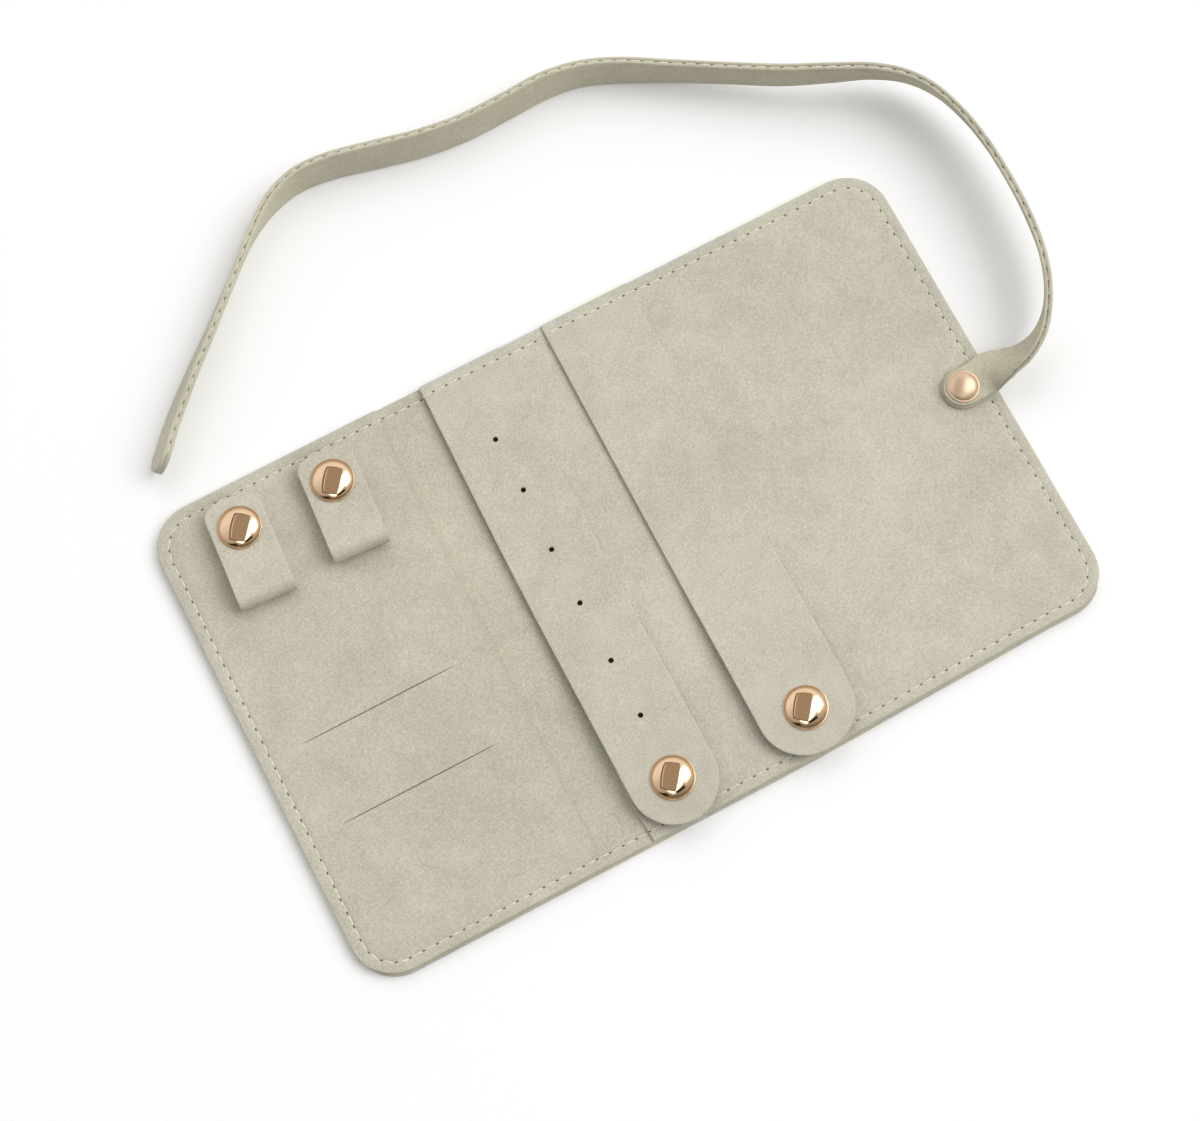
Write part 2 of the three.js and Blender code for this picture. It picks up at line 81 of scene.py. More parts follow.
def linear(hex_colour, alpha=1.0):
    """An sRGB hex colour as Blender's linear one, by the sRGB curve."""
    value = np.array([int(hex_colour[i:i + 2], 16) for i in (1, 3, 5)]) / 255
    low = value / 12.92
    high = ((value + 0.055) / 1.055) ** 2.4
    return (*np.where(value <= 0.04045, low, high), alpha)


def add_node(tree, kind, inputs=None, **settings):
    """Adds one node with its settings. An input is a number, a colour or another node's output."""
    node = tree.nodes.new(kind)
    for name, value in settings.items():
        setattr(node, name, value)
    for name, value in (inputs or {}).items():
        if isinstance(value, bpy.types.NodeSocket):
            tree.links.new(value, node.inputs[name])
        else:
            node.inputs[name].default_value = value
    return node


def new_material(name):
    """A material with its node tree, its shader and the place on the object, in its own axes."""
    material = bpy.data.materials.new(name)
    material.use_nodes = True
    tree = material.node_tree
    place = add_node(tree, "ShaderNodeTexCoord").outputs["Object"]
    return material, tree, tree.nodes["Principled BSDF"], place


def two_tone(tree, factor, dark, light):
    """A colour between two hex colours, by a factor from 0 to 1."""
    colours = {"Factor": factor, "A": linear(dark), "B": linear(light)}
    return add_node(tree, "ShaderNodeMix", colours, data_type="RGBA").outputs["Result"]


def microsuede(name, dark, light):
    """Microsuede is polyester microfibre with a raised nap, which looks soft and quite matt.

    The nap lies this way and that, so it is a little darker and lighter in patches of 9 mm and
    50 mm, and its fibre tufts show as a grain of 0.5 mm.
    """
    material, tree, shader, place = new_material(name)
    grain = add_node(tree, "ShaderNodeTexNoise", {
        "Vector": place, "Scale": 1 / (0.5 * MM), "Detail": 3.0, "Roughness": 0.75,
    })
    patch = add_node(tree, "ShaderNodeTexNoise", {
        "Vector": place, "Scale": 1 / (9 * MM), "Detail": 2.0, "Roughness": 0.6, "Distortion": 0.6,
    })
    sweep = add_node(tree, "ShaderNodeTexNoise", {
        "Vector": place, "Scale": 1 / (50 * MM), "Detail": 1.0,
    })
    total = add_node(tree, "ShaderNodeMath", {0: grain.outputs["Fac"], 1: 1.0, 2: -0.4},
                     operation="MULTIPLY_ADD")
    total = add_node(tree, "ShaderNodeMath", {0: patch.outputs["Fac"], 1: 0.25, 2: total.outputs[0]},
                     operation="MULTIPLY_ADD")
    total = add_node(tree, "ShaderNodeMath", {0: sweep.outputs["Fac"], 1: 0.2, 2: total.outputs[0]},
                     operation="MULTIPLY_ADD")
    shade = add_node(tree, "ShaderNodeMapRange", {"Value": total.outputs[0], "From Min": 0.14,
                                                  "From Max": 0.51})
    bump = add_node(tree, "ShaderNodeBump", {"Height": total.outputs[0], "Strength": 0.6,
                                             "Distance": 0.15 * MM})
    tree.links.new(two_tone(tree, shade.outputs[0], dark, light), shader.inputs["Base Color"])
    tree.links.new(bump.outputs["Normal"], shader.inputs["Normal"])
    shader.inputs["Roughness"].default_value = 0.92
    shader.inputs["Specular IOR Level"].default_value = 0.2
    shader.inputs["Sheen Weight"].default_value = 0.2
    shader.inputs["Sheen Roughness"].default_value = 0.5
    shader.inputs["Sheen Tint"].default_value = linear("#e8e4d6")
    return material


def new_piece(name, points, faces, *materials, crease=50):
    """An object at the origin from points and faces, smooth but for edges past the crease angle."""
    mesh = bpy.data.meshes.new(name)
    mesh.from_pydata(points.reshape(-1, 3).tolist(), [], faces)
    mesh.polygons.foreach_set("use_smooth", np.ones(len(mesh.polygons), bool))
    mesh.set_sharp_from_angle(angle=np.radians(crease))
    for material in materials:
        mesh.materials.append(material)
    piece = bpy.data.objects.new(name, mesh)
    bpy.context.scene.collection.objects.link(piece)
    return piece


def closed_sheet(face, back, kept):
    """Points and faces of a closed sheet between two grids of points, for the kept cells.

    Each kept cell is one face of the face grid and, turned over, one of the back grid. An edge
    with a kept cell on one side only gets a wall from the face to the back.
    """
    rows, cols = kept.shape[0] + 1, kept.shape[1] + 1
    index = np.arange(rows * cols).reshape(rows, cols)
    corners = [index[:-1, :-1], index[1:, :-1], index[1:, 1:], index[:-1, 1:]]
    cells = np.stack(corners, -1)[kept]
    around = np.pad(kept, 1)
    beside = [around[1:-1, :-2], around[2:, 1:-1], around[1:-1, 2:], around[:-2, 1:-1]]
    quads = [cells, (cells + rows * cols)[:, ::-1]]
    for side, neighbour in enumerate(beside):
        bare = kept & ~neighbour
        p, q = corners[side][bare], corners[(side + 1) % 4][bare]
        quads.append(np.stack([q, p, p + rows * cols, q + rows * cols], -1))
    quads = np.concatenate(quads)
    used, packed = np.unique(quads, return_inverse=True)
    points = np.concatenate([face.reshape(-1, 3), back.reshape(-1, 3)])[used]
    return points, packed.reshape(-1, 4).tolist()


def sheet_piece(name, x, y, high, low, material, kept=None):
    """A closed sheet over a grid, between two heights, without the cells that aren't kept."""
    if kept is None:
        kept = np.ones(np.subtract(x.shape, 1), bool)
    face, back = np.stack([x, y, high], -1), np.stack([x, y, low], -1)
    return new_piece(name, *closed_sheet(face, back, kept), material)


def grid_lines(start, end, edge, extra=()):
    """Grid lines every 2.5 mm from start to end, closer by the board's edges and at extra places."""
    plain = np.arange(-60, 61) * GRID_STEP
    near_edge = np.concatenate([edge - EDGE_LINES, EDGE_LINES - edge])
    lines = np.concatenate([[start, end], plain, near_edge, np.asarray(extra, float)])
    lines = lines[(lines >= start - 1e-9) & (lines <= end + 1e-9)]
    return np.unique(np.round(lines / (0.1 * MM)).astype(int)) * (0.1 * MM)


def board_outline(x, y):
    """Moves a square-cornered grid into the board's round corners and its taper.

    In the square past a corner's centre, a point goes to the circle whose radius is its larger
    distance from that centre, and the smaller distance's share of it becomes its angle. The
    bottom edge was cut 2 mm in towards the right corner, and the lower half is drawn in with it.
    """
    a, b = np.abs(x) - (BOARD_END - CORNER), np.abs(y) - (BOARD_SIDE - CORNER)
    inside = (a > 0) & (b > 0)
    radius = np.where(inside, np.maximum(a, b), 1)
    angle = np.minimum(a, b) / radius * np.pi / 4
    far, near = radius * np.cos(angle), radius * np.sin(angle)
    new_x = np.sign(x) * (BOARD_END - CORNER + np.where(a >= b, far, near))
    new_y = np.sign(y) * (BOARD_SIDE - CORNER + np.where(a >= b, near, far))
    new_x, new_y = np.where(inside, new_x, x), np.where(inside, new_y, y)
    taper = TAPER / BOARD_SIDE * np.clip((new_x - TAPER_X[0]) / (TAPER_X[1] - TAPER_X[0]), 0, 1)
    return new_x, new_y * np.where(new_y < 0, 1 - taper, 1)


def trimmed(y, round_y, out):
    """Moves a sheet's bottom edge out by a length, or in. The power keeps it outside the seam."""
    return round_y - out * np.clip(-y / BOARD_SIDE, 0, 1) ** 40


def rolled(from_edge, radius=EDGE_ROLL):
    """How far a face drops at its edge: a quarter circle of the radius."""
    share = np.clip(1 - from_edge / radius, 0, 1)
    return radius * (1 - np.sqrt(1 - share**2))


def seam_dip(from_edge, depth=SEAM_DIP):
    """How far the thread draws a face down: a trough along the seam, and a slope outside it."""
    trough = np.exp(-(((from_edge - SEAM_INSET) / (0.75 * MM)) ** 2))
    slope = np.clip(1 - from_edge / SEAM_INSET, 0, 1) ** 2
    return depth * (trough + 0.6 * slope)


def fold_lines(*folds):
    """Close grid lines across each fold."""
    return np.concatenate([fold + FOLD_REACH * np.linspace(-1, 1, 15) for fold in folds])


def board_grid(start, end, extra_x=(), extra_y=()):
    """A grid over part of the board, and each point's distance from the board's edge."""
    folds = fold_lines(*LEFT_FOLDS, *RIGHT_FOLDS)
    lines_x = grid_lines(start, end, BOARD_END, np.concatenate([folds, extra_x]))
    lines_y = grid_lines(-BOARD_SIDE, BOARD_SIDE, BOARD_SIDE, extra_y)
    x, y = np.meshgrid(lines_x, lines_y, indexing="ij")
    from_edge = np.minimum(BOARD_END - np.abs(x), BOARD_SIDE - np.abs(y))
    return x, y, from_edge


def board_sheet(name, start, end, bottom, top, material, dip_below=False, out=0):
    """A length of one of the board's sheets, between two heights and two places along X. Its
    bottom edge can stand out or stay in, because the sheets weren't trimmed together there.
    """
    x, y, from_edge = board_grid(start, end)
    round_x, round_y = board_outline(x, y)
    round_y = trimmed(y, round_y, out)
    high = top - rolled(from_edge) - seam_dip(from_edge)
    low = bottom + rolled(from_edge) + (seam_dip(from_edge) if dip_below else 0)
    return sheet_piece(name, round_x, round_y, high, low, material)


def bend_at(piece):
    """Bakes the piece's place into its points."""
    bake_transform(piece)


# The four lengths, with the bodies on each side of the fold in them.
LENGTHS = (
    ("left", -BOARD_END, LEFT_JOIN, "left_panel", "left_spine", LEFT_FOLDS[0]),
    ("middle_left", LEFT_JOIN, MIDDLE_JOIN, "left_spine", "middle_panel", LEFT_FOLDS[1]),
    ("middle_right", MIDDLE_JOIN, RIGHT_JOIN, "middle_panel", "right_spine", RIGHT_FOLDS[0]),
    ("right", RIGHT_JOIN, BOARD_END, "right_spine", "right_panel", RIGHT_FOLDS[1]),
)
BODY_NODES = {"left_panel": "left", "left_spine": "left_spine", "middle_panel": "middle",
              "right_spine": "right_spine", "right_panel": "right"}

cover_suede = microsuede("cover_microsuede", "#aea998", "#d1ccbb")
for name, start, end, left_body, right_body, fold in LENGTHS:
    cover = board_sheet(f"cover_{name}_length", start, end, 0, COVER_TOP, cover_suede, True, COVER_OUT)
    bend_at(cover)
    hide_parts(*(f"cover_{BODY_NODES[body]}" for body in (left_body, right_body)))


# Lining. A second sheet with the cover's outline, sewn onto it round the edge. Its face shows
# only in the strip between the two pockets.

LINING_TOP = 2.25 * MM
LINING_OUT = -0.2 * MM

lining_suede = microsuede("lining_microsuede", "#aca796", "#d0cbb9")
for name, start, end, left_body, right_body, fold in LENGTHS:
    lining = board_sheet(f"lining_{name}_length", start, end, COVER_TOP, LINING_TOP, lining_suede,
                         out=LINING_OUT)
    bend_at(lining)
    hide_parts(*(f"lining_{BODY_NODES[body]}" for body in (left_body, right_body)))


# Left pocket. A sheet on the left panel, sewn on three sides, with its cut edge at the first
# fold, a little aslant and curled up. Two slits for cards are cut through it, and their lips part
# and droop a little in the middle.

POCKET_TOP = 3.25 * MM
POCKET_OUT = -0.4 * MM
POCKET_CURL = 0.3 * MM
CURL_REACH = 0.9 * MM
FREE_EDGE_SLANT = 0.011
FREE_EDGE_SHIFT = -0.4 * MM
SLANT_REACH = 16 * MM
SLIT_LENGTH = 47 * MM
SLIT_GAP = 0.4 * MM
LIP_DROOP = 0.16 * MM
LIP_REACH = 0.9 * MM
SLITS_X = (LEFT_FOLDS[0] - BOARD_END) / 2
SLITS_Y = (-3.6 * MM, -28.8 * MM)

slit_lines_x = SLITS_X + SLIT_LENGTH / 2 * np.sin(np.linspace(-np.pi / 2, np.pi / 2, 25))
lip_lines = np.array([-2, -1, -0.6, -0.2, 0.2, 0.6, 1, 2]) * MM
slit_lines_y = np.concatenate([y + lip_lines for y in SLITS_Y])
free_edge = LEFT_FOLDS[0] - np.array([0, 0.1, 0.2, 0.4, 0.8, 1.3, 2]) * MM
x, y, from_edge = board_grid(
    -BOARD_END, LEFT_FOLDS[0], np.concatenate([slit_lines_x, free_edge]), slit_lines_y
)
round_x, round_y = board_outline(x, y)
from_free = LEFT_FOLDS[0] - x
slant = FREE_EDGE_SLANT * y + FREE_EDGE_SHIFT
round_x = round_x + slant * np.clip(1 - from_free / SLANT_REACH, 0, 1)
round_y = trimmed(y, round_y, POCKET_OUT)
kept = np.ones(np.subtract(x.shape, 1), bool)
cell_x, cell_y = (x[:-1, :-1] + x[1:, 1:]) / 2, (y[:-1, :-1] + y[1:, 1:]) / 2
curl = POCKET_CURL * np.exp(-from_free / CURL_REACH) * np.clip((from_edge - SEAM_INSET) / (4 * MM), 0, 1)
high = POCKET_TOP - rolled(np.minimum(from_edge, from_free), 0.2 * MM) - seam_dip(from_edge) + curl
low = LINING_TOP + rolled(from_edge) + curl
along = np.clip((x - SLITS_X) / (SLIT_LENGTH / 2), -1, 1)
for slit_y in SLITS_Y:
    kept &= ~((np.abs(cell_x - SLITS_X) < SLIT_LENGTH / 2) & (np.abs(cell_y - slit_y) < SLIT_GAP / 2))
    on_lip = np.abs(y - slit_y) < 0.3 * MM
    in_slit = np.abs(x - SLITS_X) <= SLIT_LENGTH / 2 + 1e-9
    parted = 0.12 + 0.88 * np.sqrt(1 - along**2)
    round_y = np.where(on_lip & in_slit, slit_y + (y - slit_y) * parted, round_y)
    droop = LIP_DROOP * np.exp(-np.abs(y - slit_y) / LIP_REACH) * np.sqrt(1 - along**2)
    high = high - droop * in_slit
left_suede = microsuede("left_pocket_microsuede", "#aea998", "#d1ccbb")
left_pocket = sheet_piece("left_pocket_sheet", round_x, round_y, high, low, left_suede, kept)
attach(left_pocket, "left_panel")
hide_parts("left_pocket")


# Right pocket. A sheet from under the earring strap to the right edge, sewn on three sides. Its
# cut edge stands out past the strap at the bottom corner. It crosses both of the right folds.

RIGHT_POCKET_X = -30.6 * MM
TUCK = 2 * MM
FLARE = 0.7 * MM
FLARE_RETURN = 0.8 * MM

right_suede = microsuede("right_pocket_microsuede", "#b0ab9b", "#d3cebe")
for name, start, end, left_body, right_body, fold, nodes in (
    ("middle", RIGHT_POCKET_X, RIGHT_JOIN, "middle_panel", "right_spine", RIGHT_FOLDS[0],
     ("right_pocket_middle", "right_pocket_spine")),
    ("right", RIGHT_JOIN, BOARD_END, "right_spine", "right_panel", RIGHT_FOLDS[1],
     ("right_pocket_spine", "right_pocket_right")),
):
    free = RIGHT_POCKET_X + np.array([0, 0.1, 0.2, 0.4, 0.8]) * MM
    x, y, from_edge = board_grid(start, end, free)
    round_x, round_y = board_outline(x, y)
    round_y = trimmed(y, round_y, POCKET_OUT)
    from_free = x - RIGHT_POCKET_X
    high = POCKET_TOP - rolled(np.minimum(from_edge, from_free)) - seam_dip(from_edge)
    low = LINING_TOP + rolled(np.minimum(from_edge, from_free), 0.2 * MM)
    shift = TUCK * np.clip((y + 55 * MM) / (15 * MM), 0, 1) ** 2
    shift = shift - FLARE * np.clip((-50 * MM - y) / (10 * MM), 0, 1)
    shift = shift + FLARE_RETURN * np.clip((-63 * MM - y) / (10 * MM), 0, 1)
    round_x = round_x + shift * np.clip(1 - from_free / (12 * MM), 0, 1)
    pocket = sheet_piece(f"right_pocket_{name}_length", round_x, round_y, high, low, right_suede)
    bend_at(pocket)
    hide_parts(*nodes)


# Earring and necklace straps. Each is one strip of microsuede, sewn flat along the top edge, which
# lies on the pocket until its snap lifts its round end. The earring strap is pierced six times
# with an awl, a little unevenly, for posts and hooks.

STRAP_THICKNESS = 1.25 * MM
HEM_TOP = POCKET_TOP + STRAP_THICKNESS
SNAP_STACK = 2.5 * MM
STRAP_ROOT_Y = 68.2 * MM
STRAP_SNAP_Y = -60.45 * MM
STRAP_PAD_Y = STRAP_SNAP_Y + 7.35 * MM
STRAP_END = 13.05 * MM
STRAP_GAP = 0.15 * MM
HEM_PRESS = 0.6 * MM
LEAN_SHARE = 0.62
PIERCING_RADIUS = 0.8 * MM
PIERCINGS = np.array([[-16.85, 49.1], [-16.65, 32.15], [-17.55, 13], [-17.6, -4.45], [-17.6, -23.2],
                      [-17.6, -40.85]]) * MM
PIERCING_LINES = np.array([-2.4, -1.6, -1.2, -0.8, -0.4, 0, 0.4, 0.8, 1.2, 1.6, 2.4]) * MM
PIERCING_SQUARE = 2.4 * MM
ASIDE_REACH = 4.5 * MM


def smooth_step(t):
    """A smooth rise from 0 to 1, by 3 t squared less 2 t cubed."""
    t = np.clip(t, 0, 1)
    return t * t * (3 - 2 * t)


def strap_underside(y):
    """The height of a strap's underside: a hair off the pocket, then a smooth slope from Y 0 to
    the top of its snap.
    """
    lift = (SNAP_STACK - STRAP_GAP) * smooth_step(y / STRAP_PAD_Y)
    return POCKET_TOP + STRAP_GAP * smooth_step((STRAP_ROOT_Y - y) / (10 * MM)) + lift


def strap_grid(hem_x, snap_x, half, piercings):
    """A strap's grid. Its middle line leans over by a quarter sine in the first part of its
    length, and near a hole the columns stand by the hole. Past the snap, the grid's square end
    is drawn into the round one: a point goes to the circle of its larger distance from the snap.
    Round a hole, the grid's squares are drawn into circles in the same way.
    """
    near = np.array([0, 0.1, 0.2, 0.4, 0.8, 1.6]) * MM
    middle = PIERCING_LINES if len(piercings) else np.array([0])
    columns = np.concatenate([middle, half - near, near - half, np.arange(-4, 5) * 2.6 * MM])
    columns = np.unique(np.round(columns[np.abs(columns) <= half] / (0.1 * MM)).astype(int)) * 0.1 * MM
    top = BOARD_SIDE - EDGE_LINES[:-1]
    slope = np.arange(STRAP_SNAP_Y, BOARD_SIDE - 7 * MM, 2.5 * MM)
    for _, hole_y in piercings:
        slope = slope[np.abs(slope - hole_y) > 2.8 * MM]
    holes = [y + PIERCING_LINES for _, y in piercings]
    root = STRAP_ROOT_Y - np.arange(1, 9) * 0.4 * MM
    past = STRAP_SNAP_Y - np.concatenate([np.arange(1, 6) * 2.2 * MM, half - near])
    rows = np.concatenate([top, slope, root, past, *holes])
    rows = np.unique(np.round(rows / (0.05 * MM)).astype(int)) * 0.05 * MM
    across, y = np.meshgrid(columns, rows, indexing="ij")
    share = np.clip((STRAP_ROOT_Y - y) / (STRAP_ROOT_Y - STRAP_SNAP_Y) / LEAN_SHARE, 0, 1)
    centre = hem_x + (snap_x - hem_x) * np.sin(share * np.pi / 2)
    beyond = np.clip(STRAP_SNAP_Y - y, 0, None)
    radius = np.maximum(np.maximum(np.abs(across), beyond), 1e-9)
    angle = np.minimum(np.abs(across), beyond) / radius * np.pi / 4
    sideways = np.where(np.abs(across) >= beyond, np.cos(angle), np.sin(angle)) * radius
    onward = np.where(np.abs(across) >= beyond, np.sin(angle), np.cos(angle)) * radius
    from_edge = np.minimum(half - np.maximum(np.abs(across), beyond), BOARD_SIDE - y)
    place_x = centre + np.sign(across) * sideways
    place_y = np.where(beyond > 0, STRAP_SNAP_Y - onward * STRAP_END / half, y)
    kept = np.ones(np.subtract(across.shape, 1), bool)
    cell_x, cell_y = (across[:-1, :-1] + across[1:, 1:]) / 2, (y[:-1, :-1] + y[1:, 1:]) / 2
    for hole_x, hole_y in piercings:
        a, b = across, y - hole_y
        reach = np.maximum(np.abs(a), np.abs(b))
        place_x = place_x + (hole_x - centre) * smooth_step(2 - reach / ASIDE_REACH)
        stretch = reach / np.maximum(np.hypot(a, b), 1e-9)
        share = np.clip((PIERCING_SQUARE - reach) / (PIERCING_SQUARE - PIERCING_RADIUS), 0, 1)
        factor = 1 + (stretch - 1) * share
        place_x = place_x + a * (factor - 1)
        place_y = place_y + b * (factor - 1)
        kept &= ~((np.abs(cell_x) < PIERCING_RADIUS) & (np.abs(cell_y - hole_y) < PIERCING_RADIUS))
    return place_x, place_y, from_edge, kept


strap_suede = microsuede("strap_microsuede", "#b0ab9b", "#d3cebe")
STRAPS = (
    ("earring_strap", -16.5 * MM, -17.95 * MM, 12.85 * MM, PIERCINGS),
    ("necklace_strap", 24.1 * MM, 23.85 * MM, 14.05 * MM, ()),
)
for name, hem_x, snap_x, half, piercings in STRAPS:
    place_x, place_y, from_edge, kept = strap_grid(hem_x, snap_x, half, piercings)
    under = strap_underside(place_y)
    pressed = HEM_PRESS * smooth_step((SEAM_INSET - 0.2 * MM - (BOARD_SIDE - place_y)) / (0.8 * MM))
    dip = seam_dip(BOARD_SIDE - place_y) + pressed
    high = under + STRAP_THICKNESS - rolled(from_edge, 0.3 * MM) - dip
    low = under + rolled(from_edge, 0.2 * MM)
    strap = sheet_piece(f"{name}_strip", place_x, place_y, high, low, strap_suede, kept)
    root, free = (0, STRAP_ROOT_Y, HEM_TOP), (0, STRAP_ROOT_Y - 3 * MM, HEM_TOP)
    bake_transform(strap)
    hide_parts(f"{name}_hem", f"{name}_leaf")


# Each of the earring strap's holes has a thin dark disc of painted shade just above the strap's
# underside, which stands in for the shade down in the hole.
PAINTED_PIT_SHADE_COLOURS = ("#15120b", "#262217")
PAINTED_PIT_SHADE_RISE = np.array([0.2, 0.3]) * MM


def painted_shade_material(name, dark, light):
    """Painted shade for the inside of a hole in suede, where there is only shade: a matt dark
    olive, a little uneven.
    """
    material, tree, shader, place = new_material(name)
    noise = add_node(tree, "ShaderNodeTexNoise", {"Vector": place, "Scale": 1 / (3 * MM)})
    tree.links.new(two_tone(tree, noise.outputs["Fac"], dark, light), shader.inputs["Base Color"])
    shader.inputs["Roughness"].default_value = 1.0
    return material


angle = np.arange(16) * np.pi / 8
circle = np.column_stack([np.cos(angle), np.sin(angle)]) * (PIERCING_RADIUS + 0.05 * MM)
points, faces = [], []
for hole in PIERCINGS:
    base = len(points) * 16
    for rise in PAINTED_PIT_SHADE_RISE:
        height = np.full(16, strap_underside(hole[1]) + rise)
        points.append(np.column_stack([circle + hole, height]))
    faces += [list(range(base + 15, base - 1, -1)), list(range(base + 16, base + 32))]
    for k in range(16):
        following = (k + 1) % 16
        faces.append([base + k, base + following, base + 16 + following, base + 16 + k])
# Painted shade for the discs in the earring strap's holes.
pit_shade = painted_shade_material("pit_shade", *PAINTED_PIT_SHADE_COLOURS)
painted_pit_shade_discs = new_piece("earring_strap_painted_pit_shade_discs", np.concatenate(points), faces, pit_shade)
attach(painted_pit_shade_discs, "earring_strap")


# Ring loops. Each is one strip of microsuede, folded forward on itself and closed by a snap, so
# that rings hang on the fold. Both ends lie one over the other and are cut bluntly round.

LOOP_HALF = 8.45 * MM
LOOP_TURN = np.radians(-4)
LOOPS_X = (-92.8 * MM, -63.5 * MM)
LOOP_SNAP_Y = 59 * MM
LOOP_TIP = 9.6 * MM
LOOP_END_RISE = 5.6 * MM
LOOP_END_POWER = 2.8
LOOP_BEND_Y = -19.2 * MM
BEND_INNER = 1.75 * MM
BEND_OUTER = BEND_INNER + STRAP_THICKNESS
LOOP_PAD_Y = -7.35 * MM
LOOP_END_Y = 3 * MM


def loop_end(across):
    """How far a loop's end reaches past its snap: an ellipse with the power 2.8 in place of 2."""
    share = np.clip(np.abs(across) / LOOP_HALF, 0, 1)
    return LOOP_TIP - LOOP_END_RISE * (1 - (1 - share**LOOP_END_POWER) ** (1 / LOOP_END_POWER))


def loop_points(across, along, side):
    """Points of a loop's strip on its outer face (side 0) or inner face (side 1), in its own
    frame, whose origin is the snap on the pocket's face.

    along runs from 0 to 4: the lower end, the lower length, the half-round bend, the upper
    length and the upper end.
    """
    lower = np.array([0, STRAP_THICKNESS])[side]
    radius = np.array([BEND_OUTER, BEND_INNER])[side]
    upper_bend = BEND_OUTER + radius
    upper_snap = STRAP_THICKNESS + SNAP_STACK + np.array([STRAP_THICKNESS, 0])[side]
    end_y = loop_end(across)
    y_low_end = end_y + (LOOP_END_Y - end_y) * np.clip(along, 0, 1)
    y_low = LOOP_END_Y + (LOOP_BEND_Y - LOOP_END_Y) * np.clip(along - 1, 0, 1)
    turn = -np.pi / 2 - np.pi * np.clip(along - 2, 0, 1)
    y_bend, z_bend = LOOP_BEND_Y + radius * np.cos(turn), BEND_OUTER + radius * np.sin(turn)
    y_up = LOOP_BEND_Y + (LOOP_END_Y - LOOP_BEND_Y) * np.clip(along - 3, 0, 1)
    slope = smooth_step((y_up - LOOP_BEND_Y) / (LOOP_PAD_Y - LOOP_BEND_Y))
    z_up = upper_bend + (upper_snap - upper_bend) * slope
    y_up_end = LOOP_END_Y + (end_y - LOOP_END_Y) * np.clip(along - 4, 0, 1)
    where = [along < 1, along < 2, along < 3, along < 4]
    y = np.select(where, [y_low_end, y_low, y_bend, y_up], y_up_end)
    z = np.select(where, [lower, lower, z_bend, z_up], upper_snap)
    return np.stack([across, y, np.broadcast_to(z, y.shape)], -1)


near = np.array([0, 0.04, 0.1, 0.2, 0.4, 0.7, 1.1, 1.7]) * MM
columns = np.unique(np.concatenate([LOOP_HALF - near, near - LOOP_HALF, np.arange(-4, 5) * 1.5 * MM]))
end_rows = np.array([0, 0.015, 0.04, 0.08, 0.16, 0.4, 0.7])
rows = np.concatenate([
    end_rows, 1 + np.arange(9) / 9, 2 + np.arange(16) / 16, 3 + np.arange(12) / 12,
    5 - end_rows[::-1],
])
across, along = np.meshgrid(columns, rows, indexing="ij")
reach = loop_end(across) - LOOP_END_Y
from_edge = np.minimum(LOOP_HALF - np.abs(across), np.minimum(along, 5 - along) * reach)
roll = rolled(from_edge, 0.3 * MM)
outer, inner = loop_points(across, along, 0), loop_points(across, along, 1)
inward = inner - outer
inward = inward / np.linalg.norm(inward, axis=-1, keepdims=True)
outer, inner = outer + inward * roll[..., None], inner - inward * (0.5 * roll)[..., None]
kept = np.ones(np.subtract(across.shape, 1), bool)
turned = np.array([[np.cos(LOOP_TURN), np.sin(LOOP_TURN), 0],
                   [-np.sin(LOOP_TURN), np.cos(LOOP_TURN), 0], [0, 0, 1]])
for i, snap_x in enumerate(LOOPS_X):
    origin = np.array([snap_x, LOOP_SNAP_Y, POCKET_TOP])
    points, faces = closed_sheet(outer @ turned + origin, inner @ turned + origin, kept)
    loop = new_piece(f"ring_loop_{i + 1}_strip", points, faces, strap_suede)
    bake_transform(loop)
    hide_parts(*(f"ring_loop_{i + 1}_{part}" for part in ("base", "bend", "leaf")))


# Seam round the board. One lockstitch seam near the edge sews the cover, the lining, the
# pockets and the straps' hems together. The thread is cream polyester, and each needle's hole
# between its stitches is a flat oval of painted shade.

STITCH_PITCH = 4.1 * MM
THREAD_RADIUS = 0.18 * MM
STITCH_PARTS = np.array([0.45, 0.85, 2.05, 3.25, 3.65]) * MM
STITCH_RISE = np.array([-0.25, 0, 0.08, 0, -0.25]) * MM
STITCH_SWELL = np.array([0.6, 0.95, 1.0, 0.95, 0.6])
# A needle's hole is a flat oval of painted shade, this long and wide, a hair above the face.
NEEDLE_HOLE_LONG = 0.42 * MM
NEEDLE_HOLE_WIDE = 0.25 * MM
NEEDLE_HOLE_RISE = 0.05 * MM


def thread_material():
    """Spun polyester thread, cream and slightly shiny, with a twist that shows as fine bars."""
    material, tree, shader, place = new_material("cream_polyester_thread")
    twist = add_node(tree, "ShaderNodeTexWave", {
        "Vector": place, "Scale": 1 / (3.5 * MM), "Distortion": 2.0,
    }, bands_direction="DIAGONAL")
    cream = two_tone(tree, twist.outputs["Fac"], "#dad6c7", "#f0ede2")
    tree.links.new(cream, shader.inputs["Base Color"])
    shader.inputs["Roughness"].default_value = 0.6
    return material


